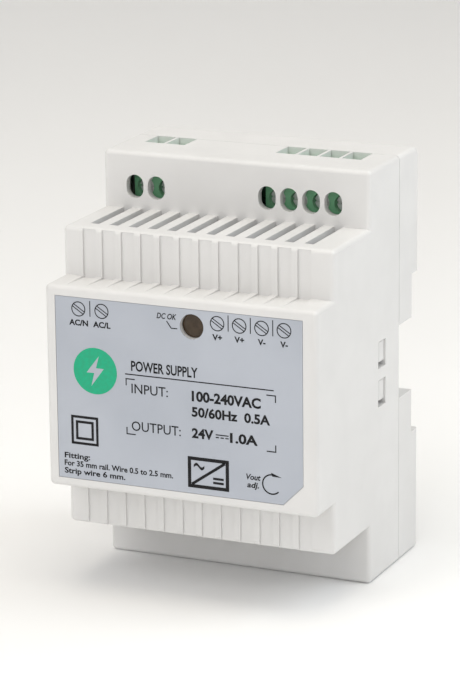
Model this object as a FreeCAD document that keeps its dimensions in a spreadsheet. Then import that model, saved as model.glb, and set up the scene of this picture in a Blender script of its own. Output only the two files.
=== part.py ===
import FreeCAD, Part
import os
import Sketcher

# DIN rail power supply, in millimetres.
# +Z is up, the front faces -Y and the rail lies behind the case along X.
# The origin is on the rail's centreline, in the plane where the rail's rims bear on the case.
# "Depth" is the distance in front of that plane, so y = -depth.

Vector = FreeCAD.Vector
doc = FreeCAD.newDocument("din_rail_power_supply")
sheet = doc.addObject("Spreadsheet::Sheet", "dims")
nodes = {}
row = 0


def size(**values):
    """Write driving dimensions to the sheet, one row each."""
    global row
    for alias, value in values.items():
        row += 1
        sheet.set(f"A{row}", alias)
        sheet.set(f"B{row}", str(value))
        sheet.setAlias(f"B{row}", alias)


def number(expression):
    """The present value of an expression on the sheet."""
    return float(sheet.evalExpression(str(expression)))


# ---------------------------------------------------------------- sketches and features

def new_sketch(body, name, plane, offset="0"):
    """A sketch on one of the body's origin planes, moved along the plane's normal."""
    sketch = body.newObject("Sketcher::SketchObject", name)
    origin_plane = [face for face in body.Origin.OriginFeatures if face.Role == plane][0]
    sketch.AttachmentSupport = (origin_plane, [""])
    sketch.MapMode = "FlatFace"
    sketch.setExpression(".AttachmentOffset.Base.z", str(offset))
    return sketch


def hold(sketch, kind, geometry, point, expression):
    """Hold one coordinate of a sketch point at an expression."""
    value = number(expression)
    index = sketch.addConstraint(Sketcher.Constraint(kind, -1, 1, geometry, point, value))
    sketch.setExpression(f"Constraints[{index}]", str(expression))


def draw_outline(sketch, corners):
    """A closed outline of straight lines; each corner is a pair of expressions."""
    first = sketch.GeometryCount
    count = len(corners)
    points = [Vector(number(u), number(v), 0) for u, v in corners]
    for index in range(count):
        sketch.addGeometry(Part.LineSegment(points[index], points[(index + 1) % count]), False)
    for index in range(count):
        following = first + (index + 1) % count
        sketch.addConstraint(Sketcher.Constraint("Coincident", first + index, 2, following, 1))
    for index, (u, v) in enumerate(corners):
        hold(sketch, "DistanceX", first + index, 1, u)
        hold(sketch, "DistanceY", first + index, 1, v)


def draw_rectangle(sketch, left, right, bottom, top):
    draw_outline(sketch, [(left, bottom), (right, bottom), (right, top), (left, top)])


def draw_circle(sketch, u, v, radius):
    circle = Part.Circle(Vector(number(u), number(v), 0), Vector(0, 0, 1), number(radius))
    geometry = sketch.addGeometry(circle, False)
    hold(sketch, "DistanceX", geometry, 3, u)
    hold(sketch, "DistanceY", geometry, 3, v)
    index = sketch.addConstraint(Sketcher.Constraint("Radius", geometry, number(radius)))
    sketch.setExpression(f"Constraints[{index}]", str(radius))


def draw_slot(sketch, u, v, radius, reach):
    """An upright slot with round ends, their centres at the reach above and below the middle."""
    x, y, r, rise = number(u), number(v), number(radius), number(reach)
    first = sketch.GeometryCount
    axis = Vector(0, 0, 1)
    half_turn = 3.141592653589793
    upper = Part.Circle(Vector(x, y + rise, 0), axis, r)
    lower = Part.Circle(Vector(x, y - rise, 0), axis, r)
    sketch.addGeometry(Part.ArcOfCircle(upper, 0, half_turn), False)
    sketch.addGeometry(Part.LineSegment(Vector(x - r, y + rise, 0), Vector(x - r, y - rise, 0)), False)
    sketch.addGeometry(Part.ArcOfCircle(lower, half_turn, 2 * half_turn), False)
    sketch.addGeometry(Part.LineSegment(Vector(x + r, y - rise, 0), Vector(x + r, y + rise, 0)), False)
    for step in range(4):
        following = first + (step + 1) % 4
        sketch.addConstraint(Sketcher.Constraint("Tangent", first + step, 2, following, 1))
    hold(sketch, "DistanceX", first, 3, u)
    hold(sketch, "DistanceY", first, 3, f"{v} + {reach}")
    hold(sketch, "DistanceX", first + 2, 3, u)
    hold(sketch, "DistanceY", first + 2, 3, f"{v} - {reach}")
    index = sketch.addConstraint(Sketcher.Constraint("Radius", first, r))
    sketch.setExpression(f"Constraints[{index}]", str(radius))


def extrude(body, kind, sketch, length, symmetric=False, reverse=False):
    """A Pad or a Pocket of the sketch."""
    feature = body.newObject("PartDesign::" + kind, f"{sketch.Name}_{kind.lower()}")
    feature.Profile = sketch
    feature.SideType = "Symmetric" if symmetric else "One side"
    feature.Reversed = reverse
    feature.setExpression("Length", str(length))
    return feature


def round_edges(body, base, name, radius, chosen):
    """Fillet the edges of the last feature for which chosen(edge) is true."""
    doc.recompute()
    names = [f"Edge{index}" for index, edge in enumerate(base.Shape.Edges, 1) if chosen(edge)]
    fillet = body.newObject("PartDesign::Fillet", name)
    fillet.Base = (base, names)
    fillet.setExpression("Radius", str(radius))
    doc.recompute()
    return fillet


def new_body(name):
    body = doc.addObject("PartDesign::Body", name)
    nodes[name] = body
    return body


# ---------------------------------------------------------------- plain solids

def put(solid, x, y, z):
    """Place a solid by expressions."""
    solid.setExpression(".Placement.Base.x", str(x))
    solid.setExpression(".Placement.Base.y", str(y))
    solid.setExpression(".Placement.Base.z", str(z))
    return solid


def make_box(name, x, y, z, wide, deep, high):
    """A box from its lowest corner."""
    box = doc.addObject("Part::Box", name)
    box.setExpression("Length", str(wide))
    box.setExpression("Width", str(deep))
    box.setExpression("Height", str(high))
    return put(box, x, y, z)


TURNS = {
    "forward": FreeCAD.Rotation(Vector(1, 0, 0), 90),
    "right": FreeCAD.Rotation(Vector(0, 1, 0), 90),
    "up": FreeCAD.Rotation(),
}


def make_cylinder(name, direction, x, y, z, radius, length):
    """A cylinder from the middle of its first end, running forward (-Y), right (+X) or up (+Z)."""
    cylinder = doc.addObject("Part::Cylinder", name)
    cylinder.Placement = FreeCAD.Placement(Vector(0, 0, 0), TURNS[direction])
    cylinder.setExpression("Radius", str(radius))
    cylinder.setExpression("Height", str(length))
    return put(cylinder, x, y, z)


def join(name, solids):
    fused = doc.addObject("Part::MultiFuse", name)
    fused.Shapes = solids
    return fused


def cut(name, base, tool):
    result = doc.addObject("Part::Cut", name)
    result.Base = base
    result.Tool = tool
    return result


def group(name, solids):
    compound = doc.addObject("Part::Compound", name)
    compound.Links = solids
    return compound


def round_solid(name, base, radius, chosen):
    """Fillet chosen edges of a plain solid; the radius is read when the model is built."""
    doc.recompute()
    fillet = doc.addObject("Part::Fillet", name)
    fillet.Base = base
    r = number(radius)
    fillet.Edges = [(index, r, r) for index, edge in enumerate(base.Shape.Edges, 1) if chosen(edge)]
    return fillet


# ---------------------------------------------------------------- driving dimensions

# Case: overall sizes, the depths of its steps and the insets of its ledges from top and bottom.
size(
    case_width=61.2,
    case_height=90,
    back_depth=4,
    seam_depth=7.5,
    seam_gap=0.15,
    terminal_step_depth=24,
    middle_step_depth=43.75,
    nose_depth=52.9,
    middle_top_inset=12.3,
    middle_bottom_inset=12.7,
    nose_top_inset=22.75,
    nose_bottom_inset=23.6,
    wall=1.8,
    edge_radius=1,
    fit=0.1,
)

# Rail: EN 60715 TH35, 35 mm over its rims, which are 1 mm thick.
size(rail_height=35, rail_play=0.2, rim_slot=1.2, hook_overlap=2.9, hook_half_width=24)

# Recesses and vent slots of the middle step.
size(recess_count=12, recess_inset=4.5, recess_pitch=4.42, recess_width=3, recess_cut=0.4,
     recess_band=0.35, vent_width=2, vent_front_gap=3.8)

# Screwdriver holes, wire ports and snap windows of the cover.
size(access_width=4, access_height=5.1, access_rise=1.2, port_width=4.4, port_depth=14.1,
     window_front=19.45, window_rear=15.25, window_gap=2.6, window_height=5.85,
     window_lift=0.15)

# Label on the nose, and the light pipe beside it.
size(label_inset_left=2.3, label_inset_right=3.1, label_top_gap=2.15, label_bottom_gap=2,
     label_corner=4.4, label_recess=0.3, label_thickness=0.25, label_margin=0.1)
size(pipe_inset=27.71, pipe_drop=28.63, pipe_radius=2.55, pipe_collar=1.1,
     pipe_collar_length=3, pipe_set_back=1.2, flange_thickness=1, rod_radius=1.5, rod_gap=0.4,
     led_height=4.6, led_radius=1.5)

# Rear base: rounded back edges, side notches, snap fingers and the coring of its blocks.
size(top_back_radius=2.2, bottom_back_radius=1.2, notch_half_height=8.1, notch_depth=4.6,
     shelf_thickness=1.5, finger_thickness=1.2, finger_play=0.2, finger_top_gap=0.4,
     finger_drop_gap=1.2, tooth_play=0.1, tooth_set_in=0.4, core_rib=1.6, core_columns=4)

# DIN latch: its travel fixes the length of the window for its spring.
size(latch_width=22, latch_thickness=2.8, latch_travel=3.5, tongue_width=1.5,
     tongue_thickness=0.9, slot_half_width=4.5, slot_bottom=2.4, slot_height=1.8,
     tip_chamfer=1.2, lug_half_width=2.2, lug_height=2.4, window_bottom=8, window_half=2.6,
     spring_wire=0.35, spring_radius=0.95, spring_turns=7, spring_pressed=7.5)

# Circuit board in the tray of the rear base, its screws and the sheet under it.
size(board_depth=6.6, board_thickness=1.6, board_gap=0.4, boss_radius=2.6, screw_radius=1.1,
     screw_length=5.2, screw_head_radius=2, screw_head_height=1.3, screw_side_inset=5.3,
     screw_end_inset=5.3, screw_upper_inset=16.4, screw_right_inset=17.6,
     insulator_thickness=0.25, insulator_gap=0.6)

# Terminal blocks, clamp screws, cages and contact bars.
size(terminal_pitch=5, input_inset=7.3, output_inset=8.3, terminal_drop=8.75,
     terminal_margin=2.6, block_depth=18.6, block_height=10.3, block_gap=0.3)
size(well_radius=1.94, head_radius=1.8, head_depth=17.5, head_height=1.2, ledge=0.6,
     shank_radius=1.45, cage_half_width=1.9, cage_height=4.5, cage_wall=0.9, cage_side=0.4,
     cage_floor=0.8, cage_travel=2, cavity_floor=0.65, cavity_gap=0.2, bar_gap=0.1,
     bar_thickness=0.8, bar_half_width=1.3, bar_drop=3.3, wire_hole=1.35, wire_depth=9.7)
INPUT_POLES = 2
OUTPUT_POLES = 4

# Input side of the board.
size(fuse_radius=3.9, fuse_height=8, fuse_inset=20, disc_row_drop=7.2, disc_radius=4.8,
     varistor_thickness=3.2, varistor_inset=26.6, thermistor_thickness=3.6, thermistor_gap=0.4)
size(x_cap_width=16, x_cap_high=7.6, x_cap_tall=15, x_cap_inset=18.2, x_cap_drop=18)
size(choke_radius=7, choke_bore=3.4, choke_thickness=6, choke_inset=14.4, choke_z=12.2,
     choke_lift=2.6, choke_wire=1)
size(bridge_width=13.5, bridge_high=3.4, bridge_tall=14, bridge_gap=0.3, bridge_z=5.4)
size(bulk_radius=8.9, bulk_tall=31, bulk_inset=13.6, bulk_drop=25.2)

# Heatsinks with their devices, and the transformer.
size(primary_plate_width=18, plate_thickness=1.6, plate_tall=27, primary_plate_x=6.5,
     primary_plate_drop=17.6, device_width=10, device_high=4.4, device_tall=15, device_lift=4,
     secondary_plate_width=18, secondary_plate_gap=0.2, secondary_plate_z=0)
size(core_width=24, core_high=8, core_tall=22, core_lift=4, core_yoke=3.6, core_leg=3.4,
     middle_leg_radius=3.6, bobbin_wall=0.8, flange_play=0.3, winding_radius=7.6,
     tape_thickness=0.4, transformer_x=2.2, transformer_z=0.4)

# Output side and the small parts.
size(output_cap_radius=4.9, output_cap_tall=20, output_cap_1_inset=15.6, output_cap_2_inset=26.6,
     output_cap_drop=19.9, output_choke_radius=4.6, output_choke_tall=11, output_choke_inset=8,
     output_choke_z=24, optocoupler_inset=13.1, optocoupler_z=14.5)
size(y_cap_x=-3.8, y_cap_radius=3.8, small_part_drop=6.5, snubber_inset=17,
     snubber_radius=1.8, snubber_length=8, chip_x=4)

# Output voltage trimmer, reached through the bottom of the cover.
size(trimmer_inset=8.6, trimmer_depth=10.1, trimmer_hole=1.7, trimmer_width=6.6,
     trimmer_high=4.6, trimmer_tall=6.8, trimmer_gap=0.5, rotor_radius=1.5, rotor_height=1.4)
doc.recompute()

HALF_WIDTH = "(dims.case_width / 2)"
HALF_HEIGHT = "(dims.case_height / 2)"
INNER_X = "(dims.case_width / 2 - dims.wall)"
INNER_Z = "(dims.case_height / 2 - dims.wall)"
MIDDLE_TOP = "(dims.case_height / 2 - dims.middle_top_inset)"
MIDDLE_BOTTOM = "(-dims.case_height / 2 + dims.middle_bottom_inset)"
NOSE_TOP = "(dims.case_height / 2 - dims.nose_top_inset)"
NOSE_BOTTOM = "(-dims.case_height / 2 + dims.nose_bottom_inset)"
RAIL_HALF = "(dims.rail_height / 2 + dims.rail_play)"
TERMINAL_Z = "(dims.case_height / 2 - dims.terminal_drop)"
BOARD_FACE = "(-dims.board_depth)"


def left(distance):
    return f"(-dims.case_width / 2 + {distance})"


def right(distance):
    return f"(dims.case_width / 2 - {distance})"


def top(distance):
    return f"(dims.case_height / 2 - {distance})"


def bottom(distance):
    return f"(-dims.case_height / 2 + {distance})"


def terminal_places(poles, first):
    """The x of each terminal of a block, from the expression of its first one."""
    return [f"({first} + {index} * dims.terminal_pitch)" for index in range(poles)]


INPUT_PLACES = terminal_places(INPUT_POLES, left("dims.input_inset"))
FIRST_OUTPUT = right(f"dims.output_inset - {OUTPUT_POLES - 1} * dims.terminal_pitch")
OUTPUT_PLACES = terminal_places(OUTPUT_POLES, FIRST_OUTPUT)
TERMINAL_PLACES = INPUT_PLACES + OUTPUT_PLACES


# ---------------------------------------------------------------- front cover

PIPE_X = right("dims.pipe_inset")
PIPE_Z = top("dims.pipe_drop")
TRIMMER_X = right("dims.trimmer_inset")


def stepped_profile(inset, rear):
    """The cover's side profile as (y, z) corners, moved inwards by an inset, from a rear depth."""
    step_y = f"(-dims.terminal_step_depth + {inset})"
    middle_y = f"(-dims.middle_step_depth + {inset})"
    nose_y = f"(-dims.nose_depth + {inset})"
    return [
        (f"(-{rear})", f"(-dims.case_height / 2 + {inset})"),
        (step_y, f"(-dims.case_height / 2 + {inset})"),
        (step_y, f"({MIDDLE_BOTTOM} + {inset})"),
        (middle_y, f"({MIDDLE_BOTTOM} + {inset})"),
        (middle_y, f"({NOSE_BOTTOM} + {inset})"),
        (nose_y, f"({NOSE_BOTTOM} + {inset})"),
        (nose_y, f"({NOSE_TOP} - {inset})"),
        (middle_y, f"({NOSE_TOP} - {inset})"),
        (middle_y, f"({MIDDLE_TOP} - {inset})"),
        (step_y, f"({MIDDLE_TOP} - {inset})"),
        (step_y, f"(dims.case_height / 2 - {inset})"),
        (f"(-{rear})", f"(dims.case_height / 2 - {inset})"),
    ]


def label_outline(margin):
    """The label's outline on the nose, one corner cut off, as (x, z) corners inside a margin."""
    low = f"({NOSE_BOTTOM} + dims.label_bottom_gap + {margin})"
    high = f"({NOSE_TOP} - dims.label_top_gap - {margin})"
    near = f"(-dims.case_width / 2 + dims.label_inset_left + {margin})"
    far = f"(dims.case_width / 2 - dims.label_inset_right - {margin})"
    return [
        (near, low),
        (f"({far} - dims.label_corner)", low),
        (far, f"({low} + dims.label_corner)"),
        (far, high),
        (near, high),
    ]


cover = new_body("front_cover")
profile = new_sketch(cover, "cover_profile", "YZ_Plane")
draw_outline(profile, stepped_profile("0", "dims.seam_depth"))
shell = extrude(cover, "Pad", profile, "dims.case_width", symmetric=True)


def is_outer_edge(edge):
    """True for the shell's convex edges away from its open rear."""
    centre = edge.CenterOfMass
    if abs(centre.y + number("dims.seam_depth")) < 0.01:
        return False
    along_x = edge.BoundBox.XLength > 1
    at_step = abs(centre.y + number("dims.terminal_step_depth")) < 0.01
    at_middle = abs(centre.y + number("dims.middle_step_depth")) < 0.01
    inner_step = at_step and abs(centre.z) < number(HALF_HEIGHT) - 1
    inner_middle = at_middle and number(NOSE_BOTTOM) - 1 < centre.z < number(NOSE_TOP) + 1
    return not (along_x and (inner_step or inner_middle))


round_edges(cover, shell, "cover_edges", "dims.edge_radius", is_outer_edge)

hollow = new_sketch(cover, "cover_hollow", "YZ_Plane")
draw_outline(hollow, stepped_profile("dims.wall", "(dims.seam_depth - 1)"))
extrude(cover, "Pocket", hollow, f"2 * {INNER_X}", symmetric=True)

# One recess of the ventilated step, on its face above and below the nose and on the nose's
# top ledge, with the vent slots in the upper and lower ledges behind it.
recess_left = left("dims.recess_inset")
recess_right = left("(dims.recess_inset + dims.recess_width)")
face_recess = new_sketch(cover, "face_recess", "XZ_Plane", "dims.middle_step_depth")
draw_rectangle(face_recess, recess_left, recess_right,
               f"({NOSE_TOP} - dims.recess_cut)", f"({MIDDLE_TOP} - dims.recess_band)")
draw_rectangle(face_recess, recess_left, recess_right,
               f"({MIDDLE_BOTTOM} - 1)", NOSE_BOTTOM)
recess_cut = extrude(cover, "Pocket", face_recess, "dims.recess_cut")

ledge_recess = new_sketch(cover, "ledge_recess", "YZ_Plane", recess_left)
draw_outline(ledge_recess, [
    ("(-dims.middle_step_depth + dims.recess_cut)", NOSE_TOP),
    ("(-dims.middle_step_depth + dims.recess_cut)", f"({NOSE_TOP} - dims.recess_cut)"),
    ("(-dims.nose_depth + dims.edge_radius)", NOSE_TOP),
])
ledge_cut = extrude(cover, "Pocket", ledge_recess, "dims.recess_width", reverse=True)

vent_left = recess_left
vent_right = left("(dims.recess_inset + dims.vent_width)")
vent_front = "(-dims.middle_step_depth + dims.vent_front_gap)"
vent_rear = "(-dims.terminal_step_depth)"
upper_vent = new_sketch(cover, "upper_vent", "XY_Plane", MIDDLE_TOP)
draw_rectangle(upper_vent, vent_left, vent_right, vent_front, vent_rear)
upper_cut = extrude(cover, "Pocket", upper_vent, "(dims.wall + 0.5)")
lower_vent = new_sketch(cover, "lower_vent", "XY_Plane", MIDDLE_BOTTOM)
draw_rectangle(lower_vent, vent_left, vent_right, vent_front, vent_rear)
lower_cut = extrude(cover, "Pocket", lower_vent, "(dims.wall + 0.5)", reverse=True)

vents = cover.newObject("PartDesign::LinearPattern", "vent_pattern")
vents.Originals = [recess_cut, ledge_cut, upper_cut, lower_cut]
vents.Direction = (profile, ["N_Axis"])
vents.Mode = "Spacing"
vents.setExpression("Offset", "dims.recess_pitch")
vents.setExpression("Occurrences", "dims.recess_count")
cover.Tip = vents
doc.recompute()

# Screwdriver holes over the clamp screws, and wire ports open to the rear edge.
access = new_sketch(cover, "access_holes", "XZ_Plane", "dims.terminal_step_depth")
for place in TERMINAL_PLACES:
    draw_slot(access, place, f"({TERMINAL_Z} + dims.access_rise)", "(dims.access_width / 2)",
              "((dims.access_height - dims.access_width) / 2)")
extrude(cover, "Pocket", access, "(dims.wall + 0.5)")

ports = new_sketch(cover, "wire_ports", "XY_Plane", HALF_HEIGHT)
for place in TERMINAL_PLACES:
    draw_rectangle(ports, f"({place} - dims.port_width / 2)", f"({place} + dims.port_width / 2)",
                   "(-dims.port_depth)", "(-dims.seam_depth + 1)")
extrude(cover, "Pocket", ports, "(dims.wall + 0.5)")

# Windows in both sides, two on each, for the teeth of the rear base's snap fingers.
windows = new_sketch(cover, "snap_windows", "YZ_Plane")
upper_window = ("(dims.window_lift + dims.window_gap / 2)",
                "(dims.window_lift + dims.window_gap / 2 + dims.window_height)")
lower_window = ("(dims.window_lift - dims.window_gap / 2 - dims.window_height)",
                "(dims.window_lift - dims.window_gap / 2)")
for low, high in (upper_window, lower_window):
    draw_rectangle(windows, "(-dims.window_front)", "(-dims.window_rear)", low, high)
extrude(cover, "Pocket", windows, "(dims.case_width + 2)", symmetric=True)

label_seat = new_sketch(cover, "label_seat", "XZ_Plane", "dims.nose_depth")
draw_outline(label_seat, label_outline("0"))
extrude(cover, "Pocket", label_seat, "dims.label_recess")

collar = new_sketch(cover, "pipe_collar", "XZ_Plane", "(dims.nose_depth - dims.wall)")
draw_circle(collar, PIPE_X, PIPE_Z, "(dims.pipe_radius + 2 * dims.pipe_collar)")
extrude(cover, "Pad", collar, "dims.pipe_collar_length", reverse=True)
collar_bore = new_sketch(cover, "collar_bore", "XZ_Plane", "(dims.nose_depth - dims.wall)")
draw_circle(collar_bore, PIPE_X, PIPE_Z, "(dims.pipe_radius + dims.pipe_collar)")
extrude(cover, "Pocket", collar_bore, "(dims.pipe_collar_length + 1)")
pipe_hole = new_sketch(cover, "pipe_hole", "XZ_Plane", "dims.nose_depth")
draw_circle(pipe_hole, PIPE_X, PIPE_Z, "(dims.pipe_radius + dims.fit)")
extrude(cover, "Pocket", pipe_hole, "(dims.wall + 0.5)")

trimmer_access = new_sketch(cover, "trimmer_access", "XY_Plane", f"(-{HALF_HEIGHT})")
draw_circle(trimmer_access, TRIMMER_X, "(-dims.trimmer_depth)", "dims.trimmer_hole")
extrude(cover, "Pocket", trimmer_access, "(dims.wall + 0.5)", reverse=True)


# ---------------------------------------------------------------- rear base

FLOOR = "(-dims.wall)"
RIM_DEPTH = "(dims.seam_depth - dims.seam_gap)"
LATCH_HALF = "(dims.latch_width / 2)"
LATCH_BACK = "(dims.back_depth - 0.05)"
LATCH_FRONT = f"({LATCH_BACK} - dims.latch_thickness)"
TONGUE_BACK = f"({LATCH_FRONT} + (dims.latch_thickness + dims.tongue_thickness) / 2)"
NOTCH_X = "(dims.case_width / 2 - dims.notch_depth)"
NOTCH_WALL_X = "(dims.case_width / 2 - dims.notch_depth - dims.wall)"
NOTCH_WALL_Z = "(dims.notch_half_height + dims.wall)"

base = new_body("rear_base")
base_profile = new_sketch(base, "base_profile", "YZ_Plane")
draw_outline(base_profile, [
    (f"(-{RIM_DEPTH})", f"(-{HALF_HEIGHT})"),
    ("dims.back_depth", f"(-{HALF_HEIGHT})"),
    ("dims.back_depth", f"(-{RAIL_HALF})"),
    ("0", f"(-{RAIL_HALF})"),
    ("0", RAIL_HALF),
    ("dims.back_depth", RAIL_HALF),
    ("dims.back_depth", HALF_HEIGHT),
    (f"(-{RIM_DEPTH})", HALF_HEIGHT),
])
base_block = extrude(base, "Pad", base_profile, "dims.case_width", symmetric=True)


def at_back_corner(sign):
    """A test for the long back edge at the top (+1) or the bottom (-1)."""
    def test(edge):
        centre = edge.CenterOfMass
        at_end = abs(centre.z - sign * number(HALF_HEIGHT)) < 0.01
        return at_end and abs(centre.y - number("dims.back_depth")) < 0.01 and edge.BoundBox.XLength > 5
    return test


top_rounding = round_edges(base, base_block, "top_back_edge", "dims.top_back_radius",
                           at_back_corner(1))
bottom_rounding = round_edges(base, top_rounding, "bottom_back_edge", "dims.bottom_back_radius",
                              at_back_corner(-1))



def is_side_edge(edge):
    """True for the outer edges of both sides, away from the seam and the rail seat."""
    centre = edge.CenterOfMass
    on_side = abs(abs(centre.x) - number(HALF_WIDTH)) < 0.01
    at_seam = abs(centre.y + number(RIM_DEPTH)) < 0.01
    return on_side and not at_seam and abs(centre.z) > number(RAIL_HALF) + 0.1


round_edges(base, bottom_rounding, "side_edges", "dims.edge_radius", is_side_edge)

tray = new_sketch(base, "tray", "XZ_Plane", "dims.seam_depth")
draw_outline(tray, [
    (f"(-{INNER_X})", f"(-{INNER_Z})"),
    (INNER_X, f"(-{INNER_Z})"),
    (INNER_X, f"(-{NOTCH_WALL_Z})"),
    (NOTCH_WALL_X, f"(-{NOTCH_WALL_Z})"),
    (NOTCH_WALL_X, NOTCH_WALL_Z),
    (INNER_X, NOTCH_WALL_Z),
    (INNER_X, INNER_Z),
    (f"(-{INNER_X})", INNER_Z),
    (f"(-{INNER_X})", NOTCH_WALL_Z),
    (f"(-{NOTCH_WALL_X})", NOTCH_WALL_Z),
    (f"(-{NOTCH_WALL_X})", f"(-{NOTCH_WALL_Z})"),
    (f"(-{INNER_X})", f"(-{NOTCH_WALL_Z})"),
])
extrude(base, "Pocket", tray, "(dims.seam_depth - dims.wall)")

notches = new_sketch(base, "side_notches", "XZ_Plane", "dims.seam_depth")
for near, far in ((f"(-{HALF_WIDTH} - 1)", f"(-{NOTCH_X})"), (NOTCH_X, f"({HALF_WIDTH} + 1)")):
    draw_rectangle(notches, near, far, "(-dims.notch_half_height)", "dims.notch_half_height")
extrude(base, "Pocket", notches, "(dims.seam_depth + 1)")

# Coring of the upper block, and of the lower block each side of the latch.
CORE_SIDE = f"({HALF_WIDTH} - 2 * dims.wall)"
CORE_PITCH = f"((2 * {CORE_SIDE} + dims.core_rib) / dims.core_columns)"
CORE_TOP = f"({HALF_HEIGHT} - dims.top_back_radius - 1)"
CORE_LOW = f"({RAIL_HALF} + 1.6 * dims.wall)"
CORE_MIDDLE = f"(({CORE_TOP} + {CORE_LOW}) / 2)"
upper_coring = new_sketch(base, "upper_coring", "XZ_Plane", "(-dims.back_depth)")
for column in range(int(number("dims.core_columns"))):
    near = f"(-{CORE_SIDE} + {column} * {CORE_PITCH})"
    far = f"({near} + {CORE_PITCH} - dims.core_rib)"
    draw_rectangle(upper_coring, near, far, CORE_LOW, f"({CORE_MIDDLE} - dims.core_rib / 2)")
    draw_rectangle(upper_coring, near, far, f"({CORE_MIDDLE} + dims.core_rib / 2)", CORE_TOP)
extrude(base, "Pocket", upper_coring, "dims.back_depth", reverse=True)

CORE_INNER = f"({LATCH_HALF} + dims.tongue_width + 2 * dims.wall)"
lower_coring = new_sketch(base, "lower_coring", "XZ_Plane", "(-dims.back_depth)")
for near, far in ((f"(-{CORE_SIDE})", f"(-{CORE_INNER})"), (CORE_INNER, CORE_SIDE)):
    draw_rectangle(lower_coring, near, far, f"(-{CORE_TOP})",
                   f"(-{CORE_MIDDLE} - dims.core_rib / 2)")
    draw_rectangle(lower_coring, near, far, f"(-{CORE_MIDDLE} + dims.core_rib / 2)",
                   f"(-{CORE_LOW})")
extrude(base, "Pocket", lower_coring, "dims.back_depth", reverse=True)

# Fixed hook over the rail's upper rim.
hook = new_sketch(base, "fixed_hook", "YZ_Plane")
draw_outline(hook, [
    ("dims.rim_slot", f"({RAIL_HALF} + 0.5)"),
    ("dims.rim_slot", f"({RAIL_HALF} - dims.hook_overlap)"),
    ("(dims.back_depth - 1)", f"({RAIL_HALF} - dims.hook_overlap)"),
    ("dims.back_depth", f"({RAIL_HALF} - dims.hook_overlap + 1)"),
    ("dims.back_depth", f"({RAIL_HALF} + 0.5)"),
])
extrude(base, "Pad", hook, "(2 * dims.hook_half_width)", symmetric=True)

# Guide for the latch: a pocket open at the back, the bottom and the rail seat, with side grooves.
guide = new_sketch(base, "latch_guide", "XZ_Plane", "(-dims.back_depth)")
draw_rectangle(guide, f"(-{LATCH_HALF} - dims.fit)", f"({LATCH_HALF} + dims.fit)",
               f"(-{HALF_HEIGHT} - 1)", f"(-{RAIL_HALF} + 1)")
extrude(base, "Pocket", guide, f"(dims.back_depth - {LATCH_FRONT} + dims.fit)", reverse=True)
grooves = new_sketch(base, "latch_grooves", "XZ_Plane", f"(-{TONGUE_BACK} - dims.fit)")
GROOVE_HALF = f"({LATCH_HALF} + dims.tongue_width + dims.fit)"
draw_rectangle(grooves, f"(-{GROOVE_HALF})", GROOVE_HALF,
               f"(-{HALF_HEIGHT} - 1)", f"(-{RAIL_HALF} + 1)")
extrude(base, "Pocket", grooves, "(dims.tongue_thickness + 2 * dims.fit)", reverse=True)

# Lug in the latch's window: it stops the latch and carries the foot of the spring.
LUG_BOTTOM = bottom("(dims.window_bottom + dims.fit)")
LUG_TOP = f"({LUG_BOTTOM} + dims.lug_height)"
WINDOW_TOP = f"({LUG_TOP} + dims.latch_travel + dims.spring_pressed)"
lug = new_sketch(base, "spring_lug", "XZ_Plane", f"(-{LATCH_BACK})")
draw_rectangle(lug, "(-dims.lug_half_width)", "dims.lug_half_width", LUG_BOTTOM, LUG_TOP)
extrude(base, "Pad", lug, "(dims.latch_thickness + 0.5)")

# Shelves across the notches, the snap fingers on them and their teeth.
FINGER_OUT = f"({INNER_X} - dims.finger_play)"
FINGER_IN = f"({FINGER_OUT} - dims.finger_thickness)"
SHELF_DEPTH = f"({RIM_DEPTH} + dims.shelf_thickness)"
shelves = new_sketch(base, "finger_shelves", "XZ_Plane", RIM_DEPTH)
for near, far in ((f"(-{FINGER_OUT})", f"(-{NOTCH_WALL_X})"), (NOTCH_WALL_X, FINGER_OUT)):
    draw_rectangle(shelves, near, far, f"(-{NOTCH_WALL_Z} + 0.5)", f"({NOTCH_WALL_Z} - 0.5)")
extrude(base, "Pad", shelves, "dims.shelf_thickness")

finger_spans = []
for low, high in (upper_window, lower_window):
    finger_spans.append((f"({low} + dims.finger_drop_gap)", f"({high} - dims.finger_top_gap)"))
fingers = new_sketch(base, "snap_fingers", "XZ_Plane", SHELF_DEPTH)
for near, far in ((f"(-{FINGER_OUT})", f"(-{FINGER_IN})"), (FINGER_IN, FINGER_OUT)):
    for low, high in finger_spans:
        draw_rectangle(fingers, near, far, low, high)
extrude(base, "Pad", fingers, f"(dims.window_front + 1 - {SHELF_DEPTH})")

TOOTH_OUT = f"({HALF_WIDTH} - dims.tooth_set_in)"
for index, (low, high) in enumerate(finger_spans, 1):
    tooth = new_sketch(base, f"snap_teeth_{index}", "XY_Plane", low)
    for sign in ("-", ""):
        corners = [
            (f"({sign}{FINGER_OUT})", "(-dims.window_rear - dims.tooth_play)"),
            (f"({sign}{TOOTH_OUT})", "(-dims.window_rear - dims.tooth_play)"),
            (f"({sign}{TOOTH_OUT})", "(-dims.window_front + 1.6)"),
            (f"({sign}({TOOTH_OUT} - 0.9))", "(-dims.window_front + dims.tooth_play)"),
            (f"({sign}{FINGER_OUT})", "(-dims.window_front + dims.tooth_play)"),
        ]
        draw_outline(tooth, corners)
    extrude(base, "Pad", tooth, f"({high} - {low})")

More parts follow.
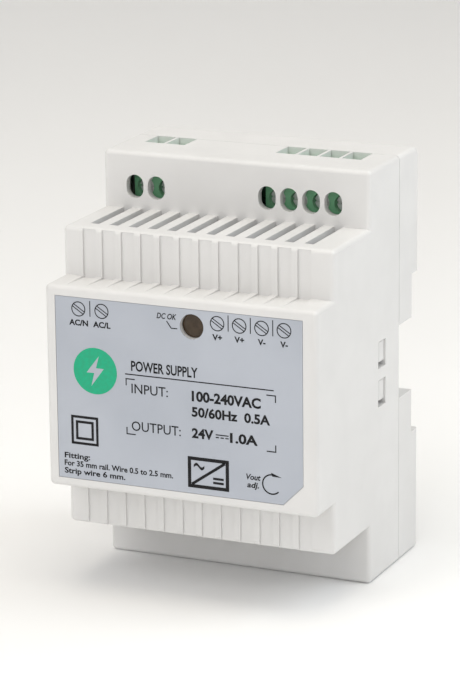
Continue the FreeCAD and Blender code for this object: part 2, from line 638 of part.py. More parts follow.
# Bosses for the board screws.
SCREW_PLACES = [
    (left("dims.screw_side_inset"), bottom("dims.screw_end_inset")),
    (right("dims.screw_right_inset"), bottom("dims.screw_end_inset")),
    (left("dims.screw_side_inset"), top("dims.screw_upper_inset")),
    (right("dims.screw_side_inset"), top("dims.screw_upper_inset")),
]
BOARD_REAR = "(dims.board_depth - dims.board_thickness)"
bosses = new_sketch(base, "board_bosses", "XZ_Plane", "(dims.wall - 0.2)")
for x, z in SCREW_PLACES:
    draw_circle(bosses, x, z, "dims.boss_radius")
extrude(base, "Pad", bosses, f"({BOARD_REAR} - dims.wall + 0.2)")
boss_holes = new_sketch(base, "boss_holes", "XZ_Plane", BOARD_REAR)
for x, z in SCREW_PLACES:
    draw_circle(boss_holes, x, z, "(dims.screw_radius + 0.05)")
extrude(base, "Pocket", boss_holes, "(dims.screw_length - dims.board_thickness + 0.3)")


# ---------------------------------------------------------------- front label and light pipe


label = new_body("front_label")
label_sheet = new_sketch(label, "label_sheet", "XZ_Plane", "(dims.nose_depth - dims.label_recess)")
draw_outline(label_sheet, label_outline("dims.label_margin"))
draw_circle(label_sheet, PIPE_X, PIPE_Z, "(dims.pipe_radius + dims.fit)")
extrude(label, "Pad", label_sheet, "dims.label_thickness")

PIPE_FACE = "(dims.nose_depth - dims.pipe_set_back)"
PIPE_FLANGE = "(dims.nose_depth - dims.wall - 0.05)"
ROD_END = "(dims.board_depth + dims.led_height + dims.rod_gap)"
pipe = new_body("light_pipe")
rod = new_sketch(pipe, "pipe_rod", "XZ_Plane", ROD_END)
draw_circle(rod, PIPE_X, PIPE_Z, "dims.rod_radius")
extrude(pipe, "Pad", rod, f"({PIPE_FLANGE} - {ROD_END})")
flange = new_sketch(pipe, "pipe_flange", "XZ_Plane", PIPE_FLANGE)
draw_circle(flange, PIPE_X, PIPE_Z, "(dims.pipe_radius + dims.pipe_collar - dims.fit)")
extrude(pipe, "Pad", flange, "dims.flange_thickness", reverse=True)
window = new_sketch(pipe, "pipe_window", "XZ_Plane", PIPE_FLANGE)
draw_circle(window, PIPE_X, PIPE_Z, "dims.pipe_radius")
extrude(pipe, "Pad", window, f"({PIPE_FACE} - {PIPE_FLANGE})")


# ---------------------------------------------------------------- DIN latch and its spring


latch = new_body("din_latch")
TIP = f"(-{RAIL_HALF} + dims.hook_overlap)"
plate = new_sketch(latch, "latch_plate", "XZ_Plane", f"(-{LATCH_BACK})")
draw_rectangle(plate, f"(-{LATCH_HALF})", LATCH_HALF, f"(-{HALF_HEIGHT})", TIP)
extrude(latch, "Pad", plate, "dims.latch_thickness")
tongues = new_sketch(latch, "latch_tongues", "XZ_Plane", f"(-{TONGUE_BACK})")
TONGUE_HALF = f"({LATCH_HALF} + dims.tongue_width)"
draw_rectangle(tongues, f"(-{TONGUE_HALF})", TONGUE_HALF, f"(-{HALF_HEIGHT} + 1)",
               f"(-{RAIL_HALF} - 1)")
extrude(latch, "Pad", tongues, "dims.tongue_thickness")
openings = new_sketch(latch, "latch_openings", "XZ_Plane", f"(-{LATCH_BACK} - 1)")
draw_rectangle(openings, "(-dims.window_half)", "dims.window_half",
               bottom("dims.window_bottom"), WINDOW_TOP)
draw_rectangle(openings, "(-dims.slot_half_width)", "dims.slot_half_width",
               bottom("dims.slot_bottom"), bottom("(dims.slot_bottom + dims.slot_height)"))
extrude(latch, "Pocket", openings, "(dims.latch_thickness + 2)", reverse=True)
ramp = new_sketch(latch, "latch_ramp", "YZ_Plane")
draw_outline(ramp, [
    (f"({LATCH_BACK} - dims.tip_chamfer)", f"({TIP} + 0.01)"),
    (f"({LATCH_BACK} + 0.01)", f"({TIP} - dims.tip_chamfer)"),
    (f"({LATCH_BACK} + 0.01)", f"({TIP} + 0.01)"),
])
extrude(latch, "Pocket", ramp, f"(2 * {LATCH_HALF} + 2)", symmetric=True)

# The spring is a closed-end coil between the lug and the top of the latch's window.
SPRING_LENGTH = number(f"{WINDOW_TOP} - {LUG_TOP}") - 2 * number("dims.spring_wire")
coil_radius = number("dims.spring_radius")
wire_radius = number("dims.spring_wire / 2")
coil = Part.makeHelix(SPRING_LENGTH / number("dims.spring_turns"), SPRING_LENGTH, coil_radius)
section = Part.Wire(Part.makeCircle(wire_radius, Vector(coil_radius, 0, 0), Vector(0, 1, 0)))
spring = doc.addObject("Part::Feature", "latch_spring")
spring.Shape = Part.Wire(coil.Edges).makePipeShell([section], True, True)
spring.Placement = FreeCAD.Placement(
    Vector(0, number(f"{LATCH_FRONT} + dims.latch_thickness / 2"),
           number(f"{LUG_TOP} + dims.spring_wire")),
    FreeCAD.Rotation())
nodes["latch_spring"] = spring


# ---------------------------------------------------------------- circuit board

board = new_body("main_board")
board_sheet = new_sketch(board, "board_sheet", "XZ_Plane", BOARD_REAR)
BOARD_X = f"({INNER_X} - dims.board_gap)"
BOARD_Z = f"({INNER_Z} - dims.board_gap)"
CLEAR_X = f"({NOTCH_WALL_X} - dims.board_gap)"
CLEAR_Z = f"({NOTCH_WALL_Z} + dims.board_gap)"
draw_outline(board_sheet, [
    (f"(-{BOARD_X})", f"(-{BOARD_Z})"),
    (BOARD_X, f"(-{BOARD_Z})"),
    (BOARD_X, f"(-{CLEAR_Z})"),
    (CLEAR_X, f"(-{CLEAR_Z})"),
    (CLEAR_X, CLEAR_Z),
    (BOARD_X, CLEAR_Z),
    (BOARD_X, BOARD_Z),
    (f"(-{BOARD_X})", BOARD_Z),
    (f"(-{BOARD_X})", CLEAR_Z),
    (f"(-{CLEAR_X})", CLEAR_Z),
    (f"(-{CLEAR_X})", f"(-{CLEAR_Z})"),
    (f"(-{BOARD_X})", f"(-{CLEAR_Z})"),
])
for x, z in SCREW_PLACES:
    draw_circle(board_sheet, x, z, "(dims.screw_radius + 0.1)")
extrude(board, "Pad", board_sheet, "dims.board_thickness")

screws = []
for index, (x, z) in enumerate(SCREW_PLACES, 1):
    head = make_cylinder(f"board_screw_head_{index}", "forward", x, BOARD_FACE, z,
                         "dims.screw_head_radius", "dims.screw_head_height")
    shank = make_cylinder(f"board_screw_shank_{index}", "forward", x,
                          f"({BOARD_FACE} + dims.screw_length)", z,
                          "dims.screw_radius", "dims.screw_length")
    slot = make_box(f"board_screw_slot_{index}", f"({x} - 0.25)",
                    f"({BOARD_FACE} - dims.screw_head_height)", f"({z} - dims.screw_head_radius)",
                    0.5, 0.6, "(2 * dims.screw_head_radius)")
    whole = join(f"board_screw_whole_{index}", [head, shank])
    screws.append(cut(f"board_screw_{index}", whole, slot))
nodes["board_screws"] = group("board_screws", screws)

# A thin insulating sheet on the floor of the tray, with holes for the bosses.
sheet_plain = make_box("insulator_plain", f"(-{CLEAR_X})", f"({FLOOR} - 0.1 - dims.insulator_thickness)",
                       f"(-{BOARD_Z})", f"(2 * {CLEAR_X})", "dims.insulator_thickness",
                       f"(2 * {BOARD_Z})")
holes = []
for index, (x, z) in enumerate(SCREW_PLACES, 1):
    holes.append(make_cylinder(f"insulator_hole_{index}", "forward", x, "0", z,
                               "(dims.boss_radius + dims.insulator_gap)", "dims.seam_depth"))
nodes["insulating_sheet"] = cut("insulating_sheet", sheet_plain, join("insulator_holes", holes))


# ---------------------------------------------------------------- terminal blocks

HEAD_SEAT = "(dims.head_depth - dims.head_height)"
CAVITY_FRONT = f"({HEAD_SEAT} - dims.ledge)"
CAVITY_REAR = "(dims.board_depth + dims.cavity_floor)"
CAVITY_HALF = "(dims.cage_half_width + dims.cavity_gap)"
CAVITY_LOW = f"({TERMINAL_Z} - dims.bar_drop + 0.4)"
CAVITY_HIGH = f"({TERMINAL_Z} + dims.cage_height / 2 + 0.6)"
CAGE_FRONT = f"({CAVITY_FRONT} - dims.bar_gap - dims.cage_travel)"
CAGE_REAR = "(dims.board_depth + dims.cage_floor)"
BAR_FRONT = f"({CAGE_FRONT} - dims.cage_wall - dims.bar_gap)"
BLOCK_TOP = f"({INNER_Z} - dims.block_gap)"
BAR_LOW = f"({TERMINAL_Z} - dims.bar_drop + 0.5)"
BAR_HIGH = f"({CAVITY_HIGH} - 0.1)"


def make_terminal_block(name, places):
    """A green moulding with a screw well, a cage cavity and a wire hole for each pole."""
    block = new_body(name)
    outer = new_sketch(block, f"{name}_outer", "XZ_Plane", "dims.board_depth")
    draw_rectangle(outer, f"({places[0]} - dims.terminal_margin)",
                   f"({places[-1]} + dims.terminal_margin)",
                   f"({BLOCK_TOP} - dims.block_height)", BLOCK_TOP)
    extrude(block, "Pad", outer, "(dims.block_depth - dims.board_depth)")
    wells = new_sketch(block, f"{name}_wells", "XZ_Plane", "dims.block_depth")
    shanks = new_sketch(block, f"{name}_shanks", "XZ_Plane", "dims.block_depth")
    cavities = new_sketch(block, f"{name}_cavities", "XZ_Plane", CAVITY_FRONT)
    leg_slots = new_sketch(block, f"{name}_leg_slots", "XZ_Plane", CAVITY_FRONT)
    wires = new_sketch(block, f"{name}_wires", "XY_Plane", BLOCK_TOP)
    for place in places:
        draw_circle(wells, place, TERMINAL_Z, "dims.well_radius")
        draw_circle(shanks, place, TERMINAL_Z, "(dims.shank_radius + dims.fit)")
        draw_rectangle(cavities, f"({place} - {CAVITY_HALF})", f"({place} + {CAVITY_HALF})",
                       CAVITY_LOW, CAVITY_HIGH)
        draw_rectangle(leg_slots, f"({place} - dims.bar_half_width - 0.1)",
                       f"({place} + dims.bar_half_width + 0.1)",
                       CAVITY_LOW, f"({BAR_LOW} + dims.bar_thickness + 0.1)")
        draw_circle(wires, place, "(-dims.wire_depth)", "dims.wire_hole")
    extrude(block, "Pocket", wells, f"(dims.block_depth - {HEAD_SEAT})")
    extrude(block, "Pocket", shanks, f"(dims.block_depth - {CAVITY_FRONT} + 0.2)")
    extrude(block, "Pocket", cavities, f"({CAVITY_FRONT} - {CAVITY_REAR})")
    extrude(block, "Pocket", leg_slots, f"({CAVITY_FRONT} - dims.board_depth + 1)")
    extrude(block, "Pocket", wires, f"({BLOCK_TOP} - {CAVITY_HIGH} + 0.2)")


make_terminal_block("input_terminal_block", INPUT_PLACES)
make_terminal_block("output_terminal_block", OUTPUT_PLACES)


def make_clamp_screw(number_name, place):
    """A captive combination-head screw that turns in its well."""
    name = f"terminal_screw_{number_name}"
    head = make_cylinder(f"{name}_head", "forward", place, f"(-{HEAD_SEAT} - 0.05)", TERMINAL_Z,
                         "dims.head_radius", "(dims.head_height - 0.05)")
    shank = make_cylinder(f"{name}_shank", "forward", place, f"(-{BAR_FRONT} - dims.bar_gap)", TERMINAL_Z,
                          "dims.shank_radius", f"({HEAD_SEAT} - {BAR_FRONT})")
    slot = make_box(f"{name}_slot", f"({place} - 2)", "(-dims.head_depth)", f"({TERMINAL_Z} - 0.25)",
                    4, 0.7, 0.5)
    cross = make_box(f"{name}_cross", f"({place} - 0.25)", "(-dims.head_depth)",
                     f"({TERMINAL_Z} - 1.1)", 0.5, 0.7, 2.2)
    nodes[name] = cut(name, join(f"{name}_whole", [head, shank]), join(f"{name}_cuts", [slot, cross]))


def make_clamp_cage(number_name, place):
    """A steel cage that climbs on its screw and draws the wire against the contact bar."""
    name = f"clamp_cage_{number_name}"
    low = f"({TERMINAL_Z} - dims.cage_height / 2 + 0.4)"
    outer = make_box(f"{name}_outer", f"({place} - dims.cage_half_width)", f"(-{CAGE_FRONT})", low,
                     "(2 * dims.cage_half_width)", f"({CAGE_FRONT} - {CAGE_REAR})",
                     "dims.cage_height")
    inner = make_box(f"{name}_inner", f"({place} - dims.cage_half_width + dims.cage_side)",
                     f"(-{CAGE_FRONT} + dims.cage_wall)", f"({low} - 1)",
                     "(2 * dims.cage_half_width - 2 * dims.cage_side)",
                     f"({CAGE_FRONT} - {CAGE_REAR} - 2 * dims.cage_wall)",
                     "(dims.cage_height + 2)")
    thread = make_cylinder(f"{name}_thread", "forward", place, f"(-{BAR_FRONT})", TERMINAL_Z,
                           "(dims.shank_radius + 0.05)", "3")
    nodes[name] = cut(name, outer, join(f"{name}_cuts", [inner, thread]))


def make_contact_bars(name, places):
    """Tinned bars that stand in the cages, each with a leg down to the board."""
    bars = []
    for index, place in enumerate(places, 1):
        near = f"({place} - dims.bar_half_width)"
        wide = "(2 * dims.bar_half_width)"
        upright = make_box(f"{name}_upright_{index}", near, f"(-{BAR_FRONT})", BAR_LOW, wide,
                           "dims.bar_thickness", f"({BAR_HIGH} - {BAR_LOW})")
        leg = make_box(f"{name}_leg_{index}", near, f"(-{BAR_FRONT})", BAR_LOW, wide,
                       f"({BAR_FRONT} - dims.board_depth)", "dims.bar_thickness")
        bars.append(join(f"{name}_{index}", [upright, leg]))
    nodes[name] = group(name, bars)


for order, place in enumerate(TERMINAL_PLACES, 1):
    make_clamp_screw(order, place)
    make_clamp_cage(order, place)
make_contact_bars("input_contact_bars", INPUT_PLACES)
make_contact_bars("output_contact_bars", OUTPUT_PLACES)


# ---------------------------------------------------------------- parts on the board

def on_board_box(name, x, z, wide, high, tall, lift="0"):
    """A box standing on the board, centred on (x, z)."""
    return make_box(name, f"({x} - {wide} / 2)", f"({BOARD_FACE} - {lift} - {tall})",
                    f"({z} - {high} / 2)", wide, tall, high)


def on_board_post(name, x, z, radius, tall, lift="0"):
    """A cylinder standing on the board, centred on (x, z)."""
    return make_cylinder(name, "forward", x, f"({BOARD_FACE} - {lift})", z, radius, tall)


# Input side, along the top edge between the two terminal blocks.
DISC_Z = top("dims.disc_row_drop")
DISC_Y = f"({BOARD_FACE} - 1.2 - dims.disc_radius)"
nodes["fuse"] = on_board_post("fuse", left("dims.fuse_inset"), DISC_Z, "dims.fuse_radius",
                              "dims.fuse_height")


def make_disc(name, x, radius, thickness):
    """A dipped disc standing on edge, with two leads."""
    body_part = make_cylinder(f"{name}_disc", "right", f"({x} - {thickness} / 2)", DISC_Y, DISC_Z,
                              radius, thickness)
    leads = [on_board_post(f"{name}_lead_{sign}", x, f"({DISC_Z} {sign_text} 2.5)", "0.4", "3")
             for sign, sign_text in ((1, "-"), (2, "+"))]
    nodes[name] = join(name, [body_part] + leads)


make_disc("varistor", left("dims.varistor_inset"), "dims.disc_radius", "dims.varistor_thickness")
THERMISTOR_X = (f"({FIRST_OUTPUT} - dims.terminal_margin - dims.thermistor_gap"
                " - dims.thermistor_thickness / 2)")
make_disc("inrush_thermistor", THERMISTOR_X, "dims.disc_radius", "dims.thermistor_thickness")

nodes["x_capacitor"] = round_solid(
    "x_capacitor",
    on_board_box("x_capacitor_block", left("dims.x_cap_inset"), top("dims.x_cap_drop"),
                 "dims.x_cap_width", "dims.x_cap_high", "dims.x_cap_tall"),
    "0.6", lambda edge: edge.BoundBox.YLength > 3)

# Line choke: a toroid on edge with two half windings.
CHOKE_X = left("dims.choke_inset")
CHOKE_Y = f"({BOARD_FACE} - dims.choke_lift - dims.choke_radius)"


def toroid(name, x, y, z, outer_radius, bore, thickness):
    outer = make_cylinder(f"{name}_outer", "up", x, y, z, outer_radius, thickness)
    inner = make_cylinder(f"{name}_inner", "up", x, y, f"({z} - 1)", bore, f"({thickness} + 2)")
    return cut(name, outer, inner)


nodes["line_choke_core"] = toroid("line_choke_core", CHOKE_X, CHOKE_Y, "dims.choke_z",
                                  "dims.choke_radius", "dims.choke_bore", "dims.choke_thickness")
winding_shell = toroid("line_choke_wrap", CHOKE_X, CHOKE_Y, "(dims.choke_z - dims.choke_wire)",
                       "(dims.choke_radius + dims.choke_wire)",
                       "(dims.choke_bore - dims.choke_wire)",
                       "(dims.choke_thickness + 2 * dims.choke_wire)")
winding_room = toroid("line_choke_room", CHOKE_X, CHOKE_Y, "dims.choke_z",
                      "dims.choke_radius", "dims.choke_bore", "dims.choke_thickness")
winding_gap = make_box("line_choke_gap", f"({CHOKE_X} - 1.5)", f"({CHOKE_Y} - 12)",
                       "(dims.choke_z - 3)", 3, 24, "(dims.choke_thickness + 6)")
nodes["line_choke_windings"] = cut("line_choke_windings", winding_shell,
                                   join("line_choke_cuts", [winding_room, winding_gap]))

BRIDGE_X = f"(-{NOTCH_WALL_X} + dims.bridge_gap + dims.bridge_width / 2)"
nodes["bridge_rectifier"] = round_solid(
    "bridge_rectifier",
    on_board_box("bridge_block", BRIDGE_X, "dims.bridge_z", "dims.bridge_width",
                 "dims.bridge_high", "dims.bridge_tall"),
    "0.5", lambda edge: edge.BoundBox.YLength > 3)

nodes["bulk_capacitor"] = round_solid(
    "bulk_capacitor",
    on_board_post("bulk_can", left("dims.bulk_inset"), bottom("dims.bulk_drop"),
                  "dims.bulk_radius", "dims.bulk_tall"),
    "1", lambda edge: edge.CenterOfMass.y < -20 and edge.BoundBox.YLength < 1)

# Switch and rectifier, each screwed to its aluminium plate.
PRIMARY_Z = bottom("dims.primary_plate_drop")
nodes["primary_heatsink"] = on_board_box("primary_heatsink", "dims.primary_plate_x", PRIMARY_Z,
                                         "dims.primary_plate_width", "dims.plate_thickness",
                                         "dims.plate_tall")
SWITCH_Z = f"({PRIMARY_Z} + dims.plate_thickness / 2 + dims.device_high / 2)"


def make_device(name, along_x, x, z):
    """A TO-220 package with three legs, its tab against a heatsink."""
    wide = "dims.device_width" if along_x else "dims.device_high"
    high = "dims.device_high" if along_x else "dims.device_width"
    package = on_board_box(f"{name}_package", x, z, wide, high, "dims.device_tall", "dims.device_lift")
    legs = []
    for index, shift in enumerate((-2.54, 0, 2.54), 1):
        leg_x = f"({x} + {shift})" if along_x else x
        leg_z = z if along_x else f"({z} + {shift})"
        legs.append(on_board_box(f"{name}_leg_{index}", leg_x, leg_z, "0.7", "0.7",
                                 "(dims.device_lift + 1)"))
    nodes[name] = join(name, [package] + legs)


make_device("primary_switch", True, "dims.primary_plate_x", SWITCH_Z)
SECONDARY_X = f"({NOTCH_WALL_X} - dims.secondary_plate_gap - dims.plate_thickness / 2)"
nodes["secondary_heatsink"] = on_board_box("secondary_heatsink", SECONDARY_X,
                                           "dims.secondary_plate_z", "dims.plate_thickness",
                                           "dims.secondary_plate_width", "dims.plate_tall")
RECTIFIER_X = f"({SECONDARY_X} - dims.plate_thickness / 2 - dims.device_high / 2)"
make_device("output_rectifier", False, RECTIFIER_X, "dims.secondary_plate_z")

# Transformer: the core's middle leg stands off the board inside the bobbin.
CORE_X = "dims.transformer_x"
CORE_Z = "dims.transformer_z"
WINDOW_TALL = "(dims.core_tall - 2 * dims.core_yoke)"
WINDOW_LIFT = "(dims.core_lift + dims.core_yoke)"
core_block = on_board_box("core_block", CORE_X, CORE_Z, "dims.core_width", "dims.core_high",
                          "dims.core_tall", "dims.core_lift")
core_window = on_board_box("core_window", CORE_X, CORE_Z,
                           "(dims.core_width - 2 * dims.core_leg)", "(dims.core_high + 2)",
                           WINDOW_TALL, WINDOW_LIFT)
core_leg = on_board_post("core_middle_leg", CORE_X, CORE_Z, "dims.middle_leg_radius",
                         f"({WINDOW_TALL} + 0.4)", f"({WINDOW_LIFT} - 0.2)")
nodes["transformer_core"] = join("transformer_core",
                                 [cut("core_frame", core_block, core_window), core_leg])

TUBE_RADIUS = "(dims.middle_leg_radius + 0.1 + dims.bobbin_wall)"
FLANGE_LIFT = f"({WINDOW_LIFT} + dims.flange_play / 2)"
FLANGE_SPAN = f"({WINDOW_TALL} - dims.flange_play)"
FLANGE_RADIUS = "(dims.winding_radius + 0.6)"
bobbin_tube = on_board_post("bobbin_tube", CORE_X, CORE_Z, TUBE_RADIUS, FLANGE_SPAN, FLANGE_LIFT)
flange_rear = on_board_post("bobbin_flange_rear", CORE_X, CORE_Z, FLANGE_RADIUS,
                            "dims.bobbin_wall", FLANGE_LIFT)
flange_front = on_board_post("bobbin_flange_front", CORE_X, CORE_Z, FLANGE_RADIUS,
                             "dims.bobbin_wall", f"({FLANGE_LIFT} + {FLANGE_SPAN} - dims.bobbin_wall)")
bobbin_bore = on_board_post("bobbin_bore", CORE_X, CORE_Z, "(dims.middle_leg_radius + 0.1)",
                            f"({FLANGE_SPAN} + 2)", f"({FLANGE_LIFT} - 1)")
nodes["transformer_bobbin"] = cut("transformer_bobbin",
                                  join("bobbin_whole", [bobbin_tube, flange_rear, flange_front]),
                                  bobbin_bore)


def make_layer(name, inner_radius, outer_radius):
    """A round layer wound on the bobbin between its flanges."""
    lift = f"({FLANGE_LIFT} + dims.bobbin_wall + 0.1)"
    tall = f"({FLANGE_SPAN} - 2 * dims.bobbin_wall - 0.2)"
    outer = on_board_post(f"{name}_outer", CORE_X, CORE_Z, outer_radius, tall, lift)
    inner = on_board_post(f"{name}_inner", CORE_X, CORE_Z, inner_radius, f"({tall} + 2)",
                          f"({lift} - 1)")
    nodes[name] = cut(name, outer, inner)


make_layer("transformer_winding", f"({TUBE_RADIUS} + 0.05)", "(dims.winding_radius - dims.tape_thickness)")
make_layer("transformer_tape", "(dims.winding_radius - dims.tape_thickness + 0.02)",
           "dims.winding_radius")

# Output side.
for order in (1, 2):
    can = on_board_post(f"output_can_{order}", right(f"dims.output_cap_{order}_inset"),
                        top("dims.output_cap_drop"), "dims.output_cap_radius",
                        "dims.output_cap_tall")
    name = f"output_capacitor_{order}"
    nodes[name] = round_solid(name, can, "0.8",
                              lambda edge: edge.CenterOfMass.y < -20 and edge.BoundBox.YLength < 1)

CHOKE_OUT_X = right("dims.output_choke_inset")
CHOKE_OUT_Z = "(-dims.output_choke_z)"
drum_parts = [
    on_board_post("output_choke_foot", CHOKE_OUT_X, CHOKE_OUT_Z, "dims.output_choke_radius", "1.2"),
    on_board_post("output_choke_waist", CHOKE_OUT_X, CHOKE_OUT_Z, "(dims.output_choke_radius / 2)",
                  "dims.output_choke_tall"),
    on_board_post("output_choke_cap", CHOKE_OUT_X, CHOKE_OUT_Z, "dims.output_choke_radius", "1.2",
                  "(dims.output_choke_tall - 1.2)"),
]
nodes["output_choke_core"] = join("output_choke_core", drum_parts)
coil_outer = on_board_post("output_coil_outer", CHOKE_OUT_X, CHOKE_OUT_Z,
                           "(dims.output_choke_radius - 0.4)", "(dims.output_choke_tall - 2.6)", "1.3")
coil_inner = on_board_post("output_coil_inner", CHOKE_OUT_X, CHOKE_OUT_Z,
                           "(dims.output_choke_radius / 2 + 0.05)", "(dims.output_choke_tall + 2)", "0")
nodes["output_choke_winding"] = cut("output_choke_winding", coil_outer, coil_inner)

OPTO_X = right("dims.optocoupler_inset")
nodes["optocoupler"] = round_solid(
    "optocoupler",
    on_board_box("optocoupler_block", OPTO_X, "(-dims.optocoupler_z)", "6.4", "4.6", "3.4", "0.2"),
    "0.3", lambda edge: edge.BoundBox.YLength > 1)

Y_CAP_X = "dims.y_cap_x"
Y_CAP_Z = bottom("dims.small_part_drop")
y_cap_disc = make_cylinder("y_capacitor_disc", "right", f"({Y_CAP_X} - 1.5)",
                           f"({BOARD_FACE} - 1 - dims.y_cap_radius)", Y_CAP_Z,
                           "dims.y_cap_radius", "3")
y_cap_leads = [on_board_post(f"y_capacitor_lead_{index}", Y_CAP_X, f"({Y_CAP_Z} + {shift})",
                             "0.3", "2.5") for index, shift in ((1, -2), (2, 2))]
nodes["y_capacitor"] = join("y_capacitor", [y_cap_disc] + y_cap_leads)

SNUBBER_X = left("dims.snubber_inset")
SNUBBER_Z = bottom("dims.small_part_drop")
SNUBBER_Y = f"({BOARD_FACE} - dims.snubber_radius - 0.6)"
resistor_body = make_cylinder("snubber_resistor_body", "right",
                              f"({SNUBBER_X} - dims.snubber_length / 2)", SNUBBER_Y, SNUBBER_Z,
                              "dims.snubber_radius", "dims.snubber_length")
resistor_wire = make_cylinder("snubber_resistor_wire", "right",
                              f"({SNUBBER_X} - dims.snubber_length / 2 - 2)", SNUBBER_Y, SNUBBER_Z,
                              "0.35", "(dims.snubber_length + 4)")
resistor_legs = [on_board_box(f"snubber_resistor_leg_{index}",
                              f"({SNUBBER_X} {sign} (dims.snubber_length / 2 + 1.4))", SNUBBER_Z,
                              "0.5", "0.5", "(dims.snubber_radius + 0.6)")
                 for index, sign in ((1, "-"), (2, "+"))]
nodes["snubber_resistor"] = join("snubber_resistor", [resistor_body, resistor_wire] + resistor_legs)

CHIP_Z = bottom("dims.small_part_drop")
chip_body = on_board_box("control_chip_body", "dims.chip_x", CHIP_Z, "3.9", "4.9", "1.5", "0.2")
chip_legs = [on_board_box(f"control_chip_leg_{index}", "dims.chip_x",
                          f"({CHIP_Z} + {round(1.27 * (index - 2.5), 3)})", "6", "0.4", "0.5")
             for index in range(1, 5)]
nodes["control_chip"] = join("control_chip", [chip_body] + chip_legs)

led_base = on_board_post("status_led_base", PIPE_X, PIPE_Z, "(dims.led_radius + 0.3)", "1")
led_dome = on_board_post("status_led_post", PIPE_X, PIPE_Z, "dims.led_radius", "dims.led_height")
nodes["status_led"] = join("status_led", [led_base, led_dome])

# Output voltage trimmer: its rotor faces down, behind the hole in the bottom of the cover.
TRIMMER_LOW = f"(-{INNER_Z} + dims.trimmer_gap + dims.rotor_height)"
trimmer_block = make_box("trimmer_block", f"({TRIMMER_X} - dims.trimmer_width / 2)",
                         f"({BOARD_FACE} - dims.trimmer_tall)", TRIMMER_LOW,
                         "dims.trimmer_width", "dims.trimmer_tall", "dims.trimmer_high")
trimmer_bore = make_cylinder("trimmer_bore", "up", TRIMMER_X, "(-dims.trimmer_depth)",
                             f"({TRIMMER_LOW} - 1)", "(dims.rotor_radius + 0.08)", "3.2")
nodes["trimmer_body"] = cut("trimmer_body", trimmer_block, trimmer_bore)
rotor_post = make_cylinder("trimmer_rotor_post", "up", TRIMMER_X, "(-dims.trimmer_depth)",
                           f"({TRIMMER_LOW} - dims.rotor_height)", "dims.rotor_radius",
                           "(dims.rotor_height + 2)")
rotor_slot = make_box("trimmer_rotor_slot", f"({TRIMMER_X} - 2)", "(-dims.trimmer_depth - 0.25)",
                      f"({TRIMMER_LOW} - dims.rotor_height - 0.01)", 4, 0.5, 0.8)
nodes["trimmer_rotor"] = cut("trimmer_rotor", rotor_post, rotor_slot)


# ---------------------------------------------------------------- checks and files

doc.recompute()
for feature in doc.Objects:
    if "Invalid" in feature.State or "Error" in feature.State:
        raise RuntimeError(f"{feature.Name} failed: {feature.State}")
    if feature.TypeId == "PartDesign::Pocket":
        removed = feature.BaseFeature.Shape.Volume - feature.Shape.Volume
        if removed < 0.01:
            raise RuntimeError(f"{feature.Name} removes nothing")
if len(nodes) > 60:
    raise RuntimeError("too many nodes")

os.makedirs("parts", exist_ok=True)
for name, node in nodes.items():
    node.Label = name
    if node.Shape.isNull() or not node.Shape.isValid():
        raise RuntimeError(f"{name} has no valid shape")
    node.Shape.exportStep(f"parts/{name}.step")
    print(f"{name}: {len(node.Shape.Solids)} solid(s), {node.Shape.Volume:.1f} mm3")
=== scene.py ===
import math

import bmesh
import bpy
from mathutils import Matrix, Vector


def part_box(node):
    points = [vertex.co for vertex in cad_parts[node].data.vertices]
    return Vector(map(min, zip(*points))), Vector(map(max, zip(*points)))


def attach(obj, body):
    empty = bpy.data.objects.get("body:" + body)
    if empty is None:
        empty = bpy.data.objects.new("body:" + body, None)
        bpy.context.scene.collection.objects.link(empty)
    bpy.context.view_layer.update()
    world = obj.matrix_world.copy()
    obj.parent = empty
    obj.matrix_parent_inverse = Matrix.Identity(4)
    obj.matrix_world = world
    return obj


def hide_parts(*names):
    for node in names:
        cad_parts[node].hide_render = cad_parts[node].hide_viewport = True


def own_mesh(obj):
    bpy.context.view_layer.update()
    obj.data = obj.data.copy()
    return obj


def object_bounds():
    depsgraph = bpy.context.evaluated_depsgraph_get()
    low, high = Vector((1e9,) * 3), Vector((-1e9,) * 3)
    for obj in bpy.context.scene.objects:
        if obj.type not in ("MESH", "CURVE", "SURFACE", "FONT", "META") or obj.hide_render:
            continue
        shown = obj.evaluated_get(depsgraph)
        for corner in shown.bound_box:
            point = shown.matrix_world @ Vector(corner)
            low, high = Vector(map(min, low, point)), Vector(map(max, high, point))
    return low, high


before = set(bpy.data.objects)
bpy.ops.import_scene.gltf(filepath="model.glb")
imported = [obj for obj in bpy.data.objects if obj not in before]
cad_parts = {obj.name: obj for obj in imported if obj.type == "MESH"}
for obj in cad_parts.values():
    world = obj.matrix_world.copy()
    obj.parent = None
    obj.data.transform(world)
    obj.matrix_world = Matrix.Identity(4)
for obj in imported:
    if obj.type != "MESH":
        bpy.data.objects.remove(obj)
cad_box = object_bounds()
MM = 0.001


# ---------------------------------------------------------------- case mouldings
# The front cover and the rear base are injection moulded in light grey ABS.
# The tool was spark eroded, so the faces carry a fine even grain and a soft satin sheen.
# The cover is pressed over the base and held by its snap teeth. Moulding rounds its edges a little.
CASE_GREY = (0.745, 0.74, 0.735, 1.0)
CASE_GREY_DEEP = (0.715, 0.71, 0.705, 1.0)
CASE_GRAIN = 0.22 * MM
CASE_CLOUD = 12 * MM
CASE_EDGE = 0.15 * MM
CASE_ROUGH = (0.42, 0.55)
CASE_RELIEF = 0.01 * MM
PLASTIC_IOR = 1.5
WELD_GAP = 0.002 * MM
SHARP_ANGLE = math.radians(35)
BAND_SCALE = math.pi / 10


